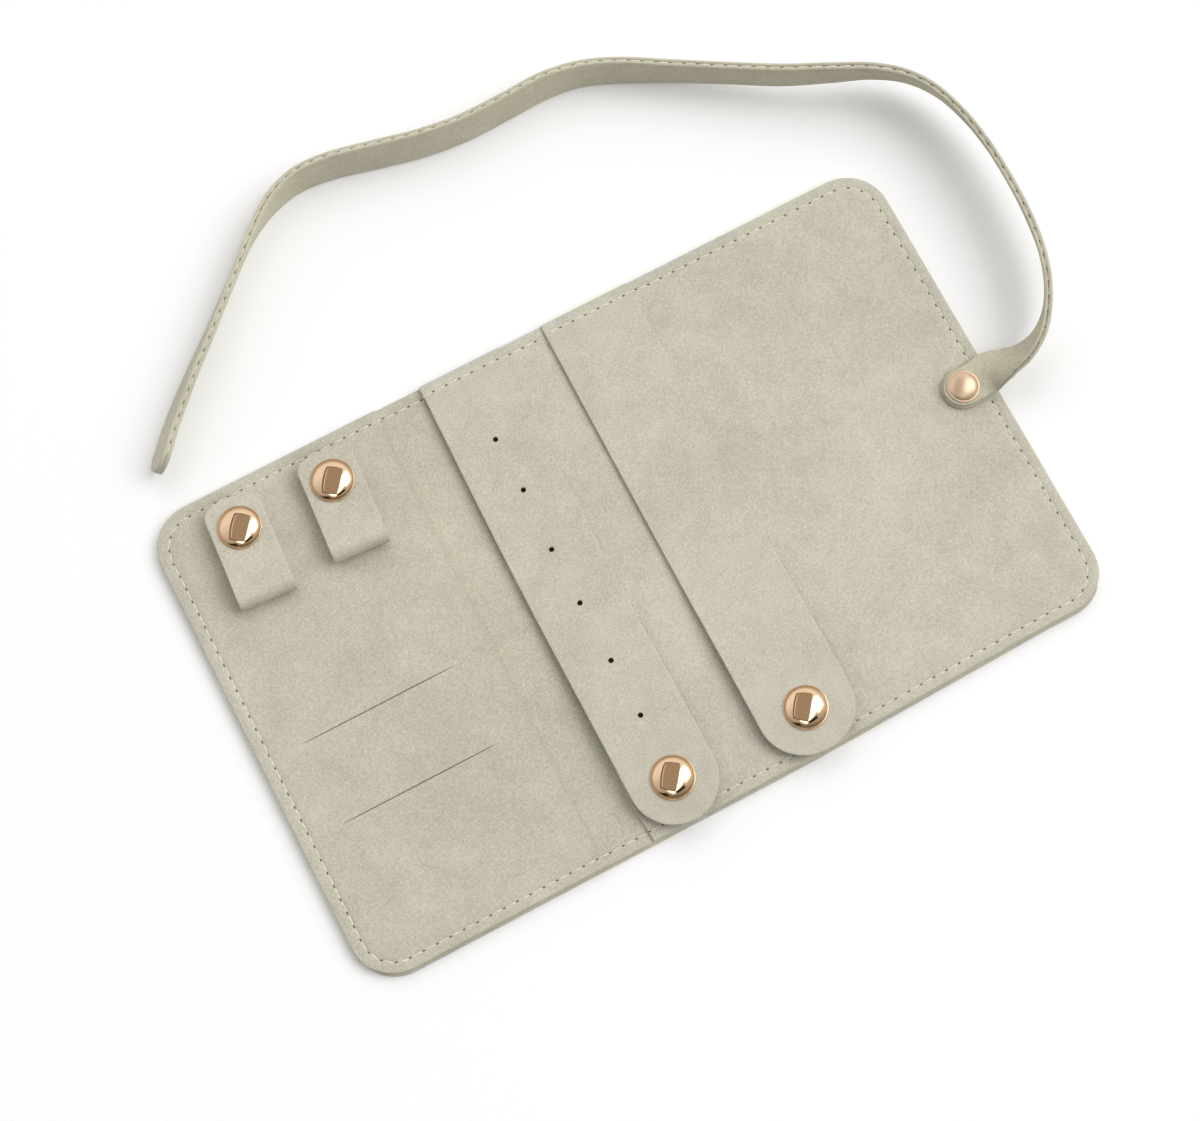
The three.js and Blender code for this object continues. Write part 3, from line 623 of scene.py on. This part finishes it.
def stitches(name, start, along, across, normal):
    """Stitches at n places, each with a unit direction along the seam, one across it and one out.

    A stitch is a tube of five rings of six points, which dives into the sheet at both ends. A
    needle's hole is a flat oval of eight points at the place itself, in painted shade.
    """
    n = len(start)
    angle = np.arange(6) * np.pi / 3
    ring = THREAD_RADIUS * STITCH_SWELL[:, None]
    centre = start[:, None] + along[:, None] * STITCH_PARTS[:, None]
    centre = centre + normal[:, None] * STITCH_RISE[:, None]
    tube = (
        centre[:, :, None]
        + across[:, None, None] * (ring * np.cos(angle))[..., None]
        + normal[:, None, None] * (ring * np.sin(angle))[..., None]
    ).reshape(n, 30, 3)
    oval = np.arange(8) * np.pi / 4
    pit = (
        start[:, None] + normal[:, None] * NEEDLE_HOLE_RISE
        + along[:, None] * (NEEDLE_HOLE_LONG * np.cos(oval))[:, None]
        + across[:, None] * (NEEDLE_HOLE_WIDE * np.sin(oval))[:, None]
    )
    points = np.concatenate([tube, pit], 1).reshape(-1, 3)
    i, j = np.meshgrid(np.arange(4) * 6, np.arange(6), indexing="ij")
    k = (j + 1) % 6
    sides = np.stack([i + j, i + 6 + j, i + 6 + k, i + k], -1).reshape(-1, 4)
    faces = []
    for base in np.arange(n) * 38:
        faces += (sides + base).tolist()
        faces += [list(range(base, base + 6)), list(range(base + 29, base + 23, -1))]
        faces.append(list(range(base + 30, base + 38)))
    piece = new_piece(name, points, faces, thread, needle_hole)
    slots = np.tile(np.array([0] * 26 + [1]), n)
    piece.data.polygons.foreach_set("material_index", slots.astype(np.int32))
    return piece


def seam_line(inset):
    """Points round the square-cornered grid at an inset from its edge, which the board's outline
    then rounds.
    """
    far_x, far_y = BOARD_END - inset, BOARD_SIDE - inset
    steps = np.linspace(-1, 1, 900, endpoint=False)
    sides = [[far_x + 0 * steps, steps * far_y], [-steps * far_x, far_y + 0 * steps],
             [-far_x + 0 * steps, -steps * far_y], [steps * far_x, -far_y + 0 * steps]]
    line = np.concatenate([np.column_stack(side) for side in sides])
    return np.concatenate([line, line[:1]])


def board_face_height(x, y):
    """The height of whatever lies on top at a place on the seam."""
    height = np.where((x > LEFT_FOLDS[0]) & (x < RIGHT_POCKET_X), LINING_TOP, POCKET_TOP)
    for _, hem_x, _, half, _ in STRAPS:
        height = np.where((np.abs(x - hem_x) < half) & (y > 0), HEM_TOP, height)
    return height


thread = thread_material()
# Painted shade for the needle's holes: a dark olive on the flat ovals.
needle_hole = painted_shade_material("needle_hole_shade", "#4a4539", "#736d5b")
line = np.column_stack(board_outline(*seam_line(SEAM_INSET).T))
steps = np.linalg.norm(np.diff(line, axis=0), axis=1)
run = np.concatenate([[0], np.cumsum(steps)])
count = int(round(run[-1] / STITCH_PITCH))
where = (np.arange(count) + 0.35) * run[-1] / count
at = np.column_stack([np.interp(where, run, line[:, k]) for k in (0, 1)])
ahead = np.column_stack([np.interp(where + 2 * MM, run, line[:, k], period=run[-1]) for k in (0, 1)])
along = np.column_stack([ahead - at, np.zeros(count)])
along /= np.linalg.norm(along, axis=1, keepdims=True)
up = np.tile([0.0, 0.0, 1.0], (count, 1))
middle = at + along[:, :2] * STITCH_PITCH / 2
height = board_face_height(middle[:, 0], middle[:, 1]) - SEAM_DIP
for name, start, end, left_body, right_body, fold in LENGTHS:
    chosen = (middle[:, 0] >= start) & (middle[:, 0] < end)
    under = np.full(chosen.sum(), SEAM_DIP)
    for side, level, out in (("inner", height[chosen], 1), ("outer", under, -1)):
        begin = np.column_stack([at[chosen], level])
        sewn = stitches(f"seam_{side}_{name}", begin, along[chosen],
                        out * np.cross(up, along)[chosen], out * up[chosen])
        bend_at(sewn)


# Snap fasteners. A domed cap, pressed from brass and plated in polished rose gold, is riveted
# through the strap to a plain brass socket. The socket springs over a stud, whose post is
# riveted through the panel.


def wiped_metal(name, dark, light, low_rough, high_rough):
    """Brass, plated or plain, whose roughness varies between two values in wipe marks of 2 mm."""
    material, tree, shader, place = new_material(name)
    wipe = add_node(tree, "ShaderNodeTexNoise", {
        "Vector": place, "Scale": 1 / (2 * MM), "Detail": 4.0, "Distortion": 1.5,
    }).outputs["Fac"]
    rough = add_node(tree, "ShaderNodeMapRange", {
        "Value": wipe, "To Min": low_rough, "To Max": high_rough,
    })
    tree.links.new(two_tone(tree, wipe, dark, light), shader.inputs["Base Color"])
    tree.links.new(rough.outputs[0], shader.inputs["Roughness"])
    shader.inputs["Metallic"].default_value = 1.0
    return material


def lathe(name, profile, centre, material, crease=40, sides=64):
    """A turned piece. Each [radius, height] of the profile goes round the axis in equal steps."""
    profile = np.asarray(profile, float)
    turn = np.arange(sides) * 2 * np.pi / sides
    radius, height = profile[:, :1], profile[:, 1:]
    points = np.stack([radius * np.cos(turn), radius * np.sin(turn), height + 0 * turn], -1)
    index = np.arange(len(profile) * sides).reshape(-1, sides)
    following = np.roll(index, -1, axis=1)
    quads = np.stack([index[:-1], following[:-1], following[1:], index[1:]], -1).reshape(-1, 4)
    piece = new_piece(name, points + np.asarray(centre), quads.tolist(), material, crease=crease)
    mesh = bmesh.new()
    mesh.from_mesh(piece.data)
    bmesh.ops.remove_doubles(mesh, verts=mesh.verts, dist=1e-7)
    bmesh.ops.recalc_face_normals(mesh, faces=mesh.faces)
    mesh.to_mesh(piece.data)
    mesh.free()
    piece.data.set_sharp_from_angle(angle=np.radians(crease))
    return piece


def cap_profile(radius, height, rim):
    """A cap's outside: a half-round rolled brim, a narrow ledge and the dome.

    The dome's height goes as the power 0.75 of one less the radius squared, between a half
    circle's 0.5 and a dish's 1, so that it is evenly round on top and turns down at its foot.
    """
    brim = np.linspace(-np.pi / 2, np.pi / 2 * 0.9, 9)
    roll = rim / 2
    edge = np.column_stack([radius - roll + roll * np.cos(brim), roll + roll * np.sin(brim)])
    foot = radius - rim * 1.15
    across = foot * np.cos(np.linspace(0, 1, 26) * np.pi / 2)
    ledge = rim * 0.96
    dome = ledge + (height - ledge) * (1 - (across / foot) ** 2) ** 0.75
    return np.vstack([edge, np.column_stack([across, dome])])


rose_gold = wiped_metal("polished_rose_gold_plating", "#f5cda3", "#fddcb5", 0.03, 0.07)
satin_rose_gold = wiped_metal("satin_rose_gold_plating", "#f8d6b4", "#fee6ca", 0.4, 0.46)
plain_brass = wiped_metal("pressed_brass", "#a58757", "#c4a56d", 0.28, 0.42)

CAP_RADIUS = 6.35 * MM
CAP_HEIGHT = 2.2 * MM
CAP_RIM = 0.5 * MM
SOCKET_RISE = 0.75 * MM
shank = np.array([[0, -0.5], [0.9, -0.5], [0.9, -1.75], [1.5, -1.75], [1.5, 0]]) * MM
snap_cap = np.vstack([shank, cap_profile(CAP_RADIUS, CAP_HEIGHT, CAP_RIM)])
snap_socket = np.array([
    [2.85, 0], [5.4, 0], [5.65, 0.08], [5.8, 0.35], [5.8, 1.4], [5.65, 1.65], [5.4, 1.75], [1.8, 1.75],
    [1.8, 1.25], [3.35, 1.25], [3.35, 0.4], [2.85, 0.2], [2.85, 0],
]) * MM
snap_stud = np.array([
    [1.3, 0], [5, 0], [5, 0.25], [4.6, 0.5], [2.1, 0.5], [2.1, 0.8], [2.45, 1.1], [2.45, 1.3],
    [2.1, 1.7], [0, 1.7], [0, 1.2], [1.3, 1.2], [1.3, 0],
]) * MM


def add_snap(name, strap_body, panel_body, x, y, panel_z, stack):
    """One snap, placed by the panel's face, and its post by the stack that it goes through."""
    strap_top = panel_z + SNAP_STACK + STRAP_THICKNESS
    post = np.array([
        [0, -0.6], [3.8, -0.6], [4, -0.4], [4, 0], [1, 0], [1, stack / MM + 0.9],
        [0, stack / MM + 0.9],
    ]) * MM
    for part, profile, body, z, metal, slot in (
        ("cap", snap_cap, strap_body, strap_top, rose_gold, "rose_gold"),
        ("socket", snap_socket, strap_body, panel_z + SOCKET_RISE, plain_brass, "plain_brass"),
        ("stud", snap_stud, panel_body, panel_z, plain_brass, "plain_brass"),
        ("post", post, panel_body, panel_z - stack, plain_brass, "plain_brass"),
    ):
        piece = lathe(f"{name}_{part}", profile, (x, y, z), metal)
        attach(piece, body)
        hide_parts(f"{name}_snap_{part}")


for name, _, snap_x, _, _ in STRAPS:
    add_snap(name, name, "middle_panel", snap_x, STRAP_SNAP_Y, POCKET_TOP, POCKET_TOP - LINING_TOP)
for i, snap_x in enumerate(LOOPS_X):
    name = f"ring_loop_{i + 1}"
    add_snap(name, name, "left_panel", snap_x, LOOP_SNAP_Y, HEM_TOP, HEM_TOP - LINING_TOP)


# Tie strap. Two plies of microsuede, sewn together along their edges and round at both ends. It
# leaves the board flat under its rivet, turns up on its edge within 30 mm and runs round behind
# the board. On its edge it holds its arc clear of the table, and it comes down to the table
# halfway along.

TIE_WIDTH = 12 * MM
TIE_THICKNESS = 2.4 * MM
PLY_SET_BACK = 0.45 * MM
SET_BACK_REACH = 8 * MM
RIVET = np.array([108.3, 0]) * MM

# The points are fitted to the strap's edges in the photo and then rounded. Each has its place
# from the rivet along X and Y, its height above the table, in millimetres, and its turn in
# degrees from flat to standing on edge.
TIE_ROUTE = np.array([
    [-6, 0, 4.6, 0], [0, 0, 4.6, 0], [5, 0, 4.6, 0], [9, 0.4, 5.6, 10], [13.5, 0, 7.4, 38],
    [19, 0, 9.5, 60], [24.5, 2, 11.4, 78], [29.5, 6.3, 12.5, 92], [34.2, 13.2, 13.2, 100],
    [37.8, 23, 13.8, 104], [39.7, 35, 14.1, 106], [40.3, 47, 14.3, 108], [40, 58.5, 14.3, 109],
    [38.5, 69.5, 14.1, 109], [35.3, 80, 13.7, 108], [30, 88.2, 13.1, 105], [22.5, 94.4, 12.3, 100],
    [12, 100, 11.2, 94],
    [-0.5, 106.5, 9.9, 91], [-14, 115, 8.6, 91], [-28, 123.8, 7.4, 89],
    [-42, 132.1, 6.6, 84], [-52.4, 136.5, 6.2, 83], [-63.5, 138.1, 6.2, 80],
    [-76, 137.7, 6.2, 80], [-90, 137.5, 6.2, 79], [-104, 139.2, 6.2, 78], [-118, 142.5, 6.2, 78],
    [-131, 145.4, 6.2, 80], [-141.5, 145.8, 6.2, 84], [-151.1, 142.8, 6.1, 92],
    [-160.2, 136.8, 6.1, 102], [-170, 128, 6.1, 106], [-182, 117.2, 6.1, 109],
    [-194.1, 106.5, 6.1, 113], [-205.4, 95.7, 6.1, 116], [-215, 85, 6, 118],
])


def smooth_route(points, per_span):
    """A smooth line through points, whose first three columns are places.

    Each span is a cubic from one point to the next. Its slope at a point is the mean of the two
    neighbouring chords' slopes, each weighted by the other chord, and a chord counts as long as
    the square root of its length. The other columns follow the same cubics.
    """
    p = np.vstack([2 * points[:1] - points[1:2], points, 2 * points[-1:] - points[-2:-1]])
    chord = np.sqrt(np.linalg.norm(np.diff(p[:, :3], axis=0), axis=1))[:, None]
    before, here, after = chord[:-2], chord[1:-1], chord[2:]
    p0, p1, p2, p3 = p[:-3], p[1:-2], p[2:-1], p[3:]
    leave = here * ((p1 - p0) / before - (p2 - p0) / (before + here) + (p2 - p1) / here)
    arrive = here * ((p2 - p1) / here - (p3 - p1) / (here + after) + (p3 - p2) / after)
    t = (np.arange(per_span) / per_span)[None, :, None]
    p1, p2, leave, arrive = (part[:, None] for part in (p1, p2, leave, arrive))
    line = (
        p1 * (2 * t**3 - 3 * t**2 + 1) + leave * (t**3 - 2 * t**2 + t)
        + p2 * (3 * t**2 - 2 * t**3) + arrive * (t**3 - t**2)
    )
    return np.vstack([line.reshape(-1, points.shape[1]), points[-1:]])


def by_length(line, shares):
    """The line's columns at shares of its length."""
    steps = np.linalg.norm(np.diff(line[:, :3], axis=0), axis=1)
    along = np.concatenate([[0], np.cumsum(steps)])
    return np.column_stack([np.interp(shares * along[-1], along, column) for column in line.T])


def unit(v):
    """Each row of v at length 1."""
    return v / np.linalg.norm(v, axis=-1, keepdims=True)


def tie_frames(shares):
    """The strap's centre at shares of its length, with the directions along it, across it and
    out of its face. At turn 0 across is level, and the turn rolls it about the line.
    """
    rows = by_length(tie_line, shares)
    ahead = by_length(tie_line, np.clip(shares + 0.001, 0, 1))
    behind = by_length(tie_line, np.clip(shares - 0.001, 0, 1))
    tangent = unit((ahead - behind)[:, :3])
    left = unit(np.cross([0, 0, 1], tangent))
    above = np.cross(tangent, left)
    turn = np.radians(rows[:, 3:])
    across = left * np.cos(turn) - above * np.sin(turn)
    normal = above * np.cos(turn) + left * np.sin(turn)
    return rows[:, :3], tangent, across, normal


tie_line = smooth_route(TIE_ROUTE, 24)
tie_line[:, :3] *= MM
tie_line[:, :2] += RIVET
tie_length = float(np.linalg.norm(np.diff(tie_line[:, :3], axis=0), axis=1).sum())

tip = TIE_WIDTH / 2 / tie_length * (1 - np.cos(np.linspace(0.12, np.pi / 2, 12)))
shares = np.concatenate([tip, np.linspace(tip[-1], 1 - tip[-1], 480)[1:-1], 1 - tip[::-1]])
centre, tangent, across, normal = tie_frames(shares)
from_end = np.minimum(shares, 1 - shares) * tie_length / (TIE_WIDTH / 2)
narrow = np.sqrt(np.clip(1 - (1 - np.minimum(1, from_end)) ** 2, 0, 1))
ply = np.array([
    [0.3, -0.5], [0.45, -0.5], [0.48, -0.46], [0.495, -0.37], [0.5, -0.25], [0.497, -0.14],
    [0.482, -0.07], [0.445, 0], [0.482, 0.07], [0.497, 0.14], [0.5, 0.25], [0.495, 0.37],
    [0.48, 0.46], [0.45, 0.5], [0.3, 0.5], [0.1, 0.5],
])
outline = np.vstack([ply, -ply])

# The upper ply was cut a little smaller, and is set back from the lower one round the rivet.
upper_ply = outline[:, 1] > 0.05
set_back = PLY_SET_BACK * smooth_step(2 - shares * tie_length / SET_BACK_REACH)
rim = outline[None, :, 0] * TIE_WIDTH - set_back[:, None] * np.sign(outline[:, 0]) * upper_ply
tip_back = (set_back * np.clip(1 - from_end, 0, 1))[:, None] * upper_ply
points = (
    centre[:, None] + across[:, None] * (rim * narrow[:, None])[..., None]
    + normal[:, None] * (outline[:, 1] * TIE_THICKNESS)[None, :, None]
    + tangent[:, None] * tip_back[..., None]
)
index = np.arange(points.shape[0] * points.shape[1]).reshape(points.shape[:2])
following = np.roll(index, -1, axis=1)
quads = np.stack([index[:-1], following[:-1], following[1:], index[1:]], -1).reshape(-1, 4)
faces = [*quads.tolist(), index[0, ::-1].tolist(), index[-1].tolist()]
tie_suede = microsuede("tie_strap_microsuede", "#afaa95", "#d1ccb8")
tie = new_piece("tie_strap_plies", points, faces, tie_suede)
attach(tie, "tie_strap")
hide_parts("tie_strap")

# The strap's own seam runs in the groove between its plies.
TIE_STITCH = 4.1 * MM
SEAM_START = 14 * MM
edge_count = int((tie_length - SEAM_START - 4 * MM) / TIE_STITCH)
edge_shares = (SEAM_START + np.arange(edge_count) * TIE_STITCH) / tie_length
centre, tangent, across, normal = tie_frames(edge_shares)
for side, sign in (("upper", -1), ("lower", 1)):
    out = sign * across
    begin = centre + out * (TIE_WIDTH / 2 - 0.4 * MM)
    sewn = stitches(f"tie_strap_{side}_seam", begin, tangent, np.cross(tangent, out), out)
    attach(sewn, "tie_strap")
    sewn.parent = tie
    sewn.matrix_parent_inverse = Matrix.Identity(4)


# Rivet. Its domed cap, plated in satin rose gold, holds the tie strap's round end to the board,
# and a plain flange under the lining holds the cap's tubular shank.

RIVET_RADIUS = 4.75 * MM
RIVET_HEIGHT = 1.9 * MM
RIVET_RIM = 0.4 * MM
RIVET_CAP_Z = 5.95 * MM
rivet_shank = np.array([[0, -1.2], [1, -1.2], [1, -3.45], [1.6, -3.45], [1.6, 0]]) * MM
rivet_profile = np.vstack([rivet_shank, cap_profile(RIVET_RADIUS, RIVET_HEIGHT, RIVET_RIM)])
rivet = lathe("rivet_dome", rivet_profile, (*RIVET, RIVET_CAP_Z), satin_rose_gold)
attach(rivet, "right_panel")
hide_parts("rivet_cap")
rivet_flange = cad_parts["rivet_back"]
rivet_flange.data.materials.clear()
rivet_flange.data.materials.append(plain_brass)


# Table, light and camera. A white table stands in a studio with pale walls, under two soft
# lamps, to the picture's right and above it. The camera is nearly straight above, with a long
# lens.

floor_mesh = bpy.data.meshes.new("floor")
floor_mesh.from_pydata([(-4, -4, 0), (4, -4, 0), (4, 4, 0), (-4, 4, 0)], [], [(0, 1, 2, 3)])
floor = bpy.data.objects.new("floor", floor_mesh)
bpy.context.scene.collection.objects.link(floor)
table_white = bpy.data.materials.new("white_table")
table_white.use_nodes = True
table_shader = table_white.node_tree.nodes["Principled BSDF"]
table_shader.inputs["Base Color"].default_value = linear("#f9f9fa")
table_shader.inputs["Roughness"].default_value = 0.9
table_shader.inputs["Specular IOR Level"].default_value = 0.1
floor_mesh.materials.append(table_white)


def add_lamp(name, place, target, size, power, colour):
    """A square soft lamp that faces its target."""
    lamp = bpy.data.lights.new(name, "AREA")
    lamp.shape, lamp.size, lamp.energy, lamp.color = "SQUARE", size, power, linear(colour)[:3]
    stand = bpy.data.objects.new(name, lamp)
    bpy.context.scene.collection.objects.link(stand)
    stand.location = place
    stand.rotation_euler = (Vector(target) - Vector(place)).to_track_quat("-Z", "Y").to_euler()
    return stand


for name, place, size, power in (
    ("right_lamp", (1.873, -0.996, 2.121), 1.9, 27),
    ("upper_lamp", (0.545, 1.677, 2.427), 1.9, 18),
):
    lamp = add_lamp(name, place, (0, 0, 0), size, power, "#f9fbff")
    lamp.visible_glossy = False

# The studio overhead, as the caps mirror it: walls that are white behind the board and dim in
# front of it and near the floor, a bright lamp screen to the right, a dim panel at the middle
# with a pale edge, and two dark doorways. Each is drawn on a flat map of the sky, whose distance
# from the middle is the tangent of half the angle from straight up.
world = bpy.data.worlds.new("studio")
bpy.context.scene.world = world
world.use_nodes = True
sky = world.node_tree
toward = add_node(sky, "ShaderNodeTexCoord").outputs["Generated"]
axes = add_node(sky, "ShaderNodeSeparateXYZ", {0: toward})
above = add_node(sky, "ShaderNodeMath", {0: axes.outputs["Z"], 1: 1.0}, operation="ADD")
above = add_node(sky, "ShaderNodeMath", {0: above.outputs[0], 1: 0.05}, operation="MAXIMUM")
flat = {}
for axis in ("X", "Y"):
    share = add_node(sky, "ShaderNodeMath", {0: axes.outputs[axis], 1: above.outputs[0]},
                     operation="DIVIDE")
    flat[axis] = share.outputs[0]
flat = add_node(sky, "ShaderNodeCombineXYZ", flat).outputs[0]


def sky_box(colour, light, centre, half, turn, edge):
    """The colour with a soft-edged box of light laid over it."""
    place = add_node(sky, "ShaderNodeVectorMath", {0: flat, 1: (*centre, 0)}, operation="SUBTRACT")
    place = add_node(sky, "ShaderNodeVectorRotate", {"Vector": place.outputs[0],
                                                     "Angle": np.radians(-turn)}, rotation_type="Z_AXIS")
    place = add_node(sky, "ShaderNodeSeparateXYZ", {0: place.outputs[0]})
    inside = 1.0
    for axis, reach in zip(("X", "Y"), half):
        far = add_node(sky, "ShaderNodeMath", {0: place.outputs[axis]}, operation="ABSOLUTE")
        near = add_node(sky, "ShaderNodeMapRange", {
            "Value": far.outputs[0], "From Min": reach - edge, "From Max": reach + edge,
            "To Min": 1.0, "To Max": 0.0,
        }, interpolation_type="SMOOTHSTEP")
        inside = add_node(sky, "ShaderNodeMath", {0: near.outputs[0], 1: inside}, operation="MULTIPLY")
        inside = inside.outputs[0]
    mix = add_node(sky, "ShaderNodeMix", {"Factor": inside, "A": colour, "B": light}, data_type="RGBA")
    return mix.outputs["Result"]


side = add_node(sky, "ShaderNodeVectorMath", {0: flat, 1: (0.3, 0.95, 0)}, operation="DOT_PRODUCT")
side = add_node(sky, "ShaderNodeMapRange", {"Value": side.outputs["Value"], "From Min": -0.6,
                                            "From Max": 0.25})
low = add_node(sky, "ShaderNodeVectorMath", {0: flat}, operation="LENGTH")
low = add_node(sky, "ShaderNodeMapRange", {
    "Value": low.outputs["Value"], "From Min": 0.65, "From Max": 0.95, "To Min": 1.0, "To Max": 0.35,
})
side = add_node(sky, "ShaderNodeMath", {0: side.outputs[0], 1: low.outputs[0]}, operation="MULTIPLY")
light = add_node(sky, "ShaderNodeMix", {"Factor": side.outputs[0], "A": (0.14, 0.13, 0.09, 1),
                                        "B": (0.89, 0.90, 0.92, 1)}, data_type="RGBA").outputs["Result"]
for level, centre, half, turn, edge in (
    ((2.9, 2.9, 2.85), (0.16, -0.07), (0.42, 0.10), 30, 0.04),
    ((2.9, 2.9, 2.85), (0.38, -0.01), (0.17, 0.15), 20, 0.06),
    ((0.14, 0.12, 0.1), (-0.015, 0.12), (0.37, 0.21), 53, 0.015),
    ((0.36, 0.325, 0.285), (0.0, 0.115), (0.34, 0.185), 53, 0.015),
    ((0.72, 0.7, 0.65), (-0.132, 0.214), (0.29, 0.012), 53, 0.01),
    ((0.02, 0.02, 0.02), (-0.60, -0.31), (0.28, 0.10), -8, 0.03),
    ((0.02, 0.02, 0.02), (0.07, -0.32), (0.14, 0.05), 10, 0.02),
):
    light = sky_box(light, (*level, 1), centre, half, turn, edge)
sky.links.new(light, sky.nodes["Background"].inputs["Color"])

# The camera's place in millimetres, and its turns about X, Y and Z in degrees. Both are fitted to
# the board's four sides and the snaps in the photo.
CAMERA_PLACE = (-66.6, -131.6, 665.7)
CAMERA_TURNS = (12.58, 0.873, -27.694)

camera = bpy.data.objects.new("camera", bpy.data.cameras.new("camera"))
bpy.context.scene.collection.objects.link(camera)
camera.data.sensor_width = 36
camera.data.lens = 72
facing = Euler(np.radians(CAMERA_TURNS)).to_matrix().to_4x4()
camera.matrix_world = Matrix.Translation(Vector(CAMERA_PLACE) * MM) @ facing
camera.data.clip_start, camera.data.clip_end = 0.01, 20
bpy.context.scene.camera = camera
bpy.context.scene.view_settings.view_transform = "Standard"
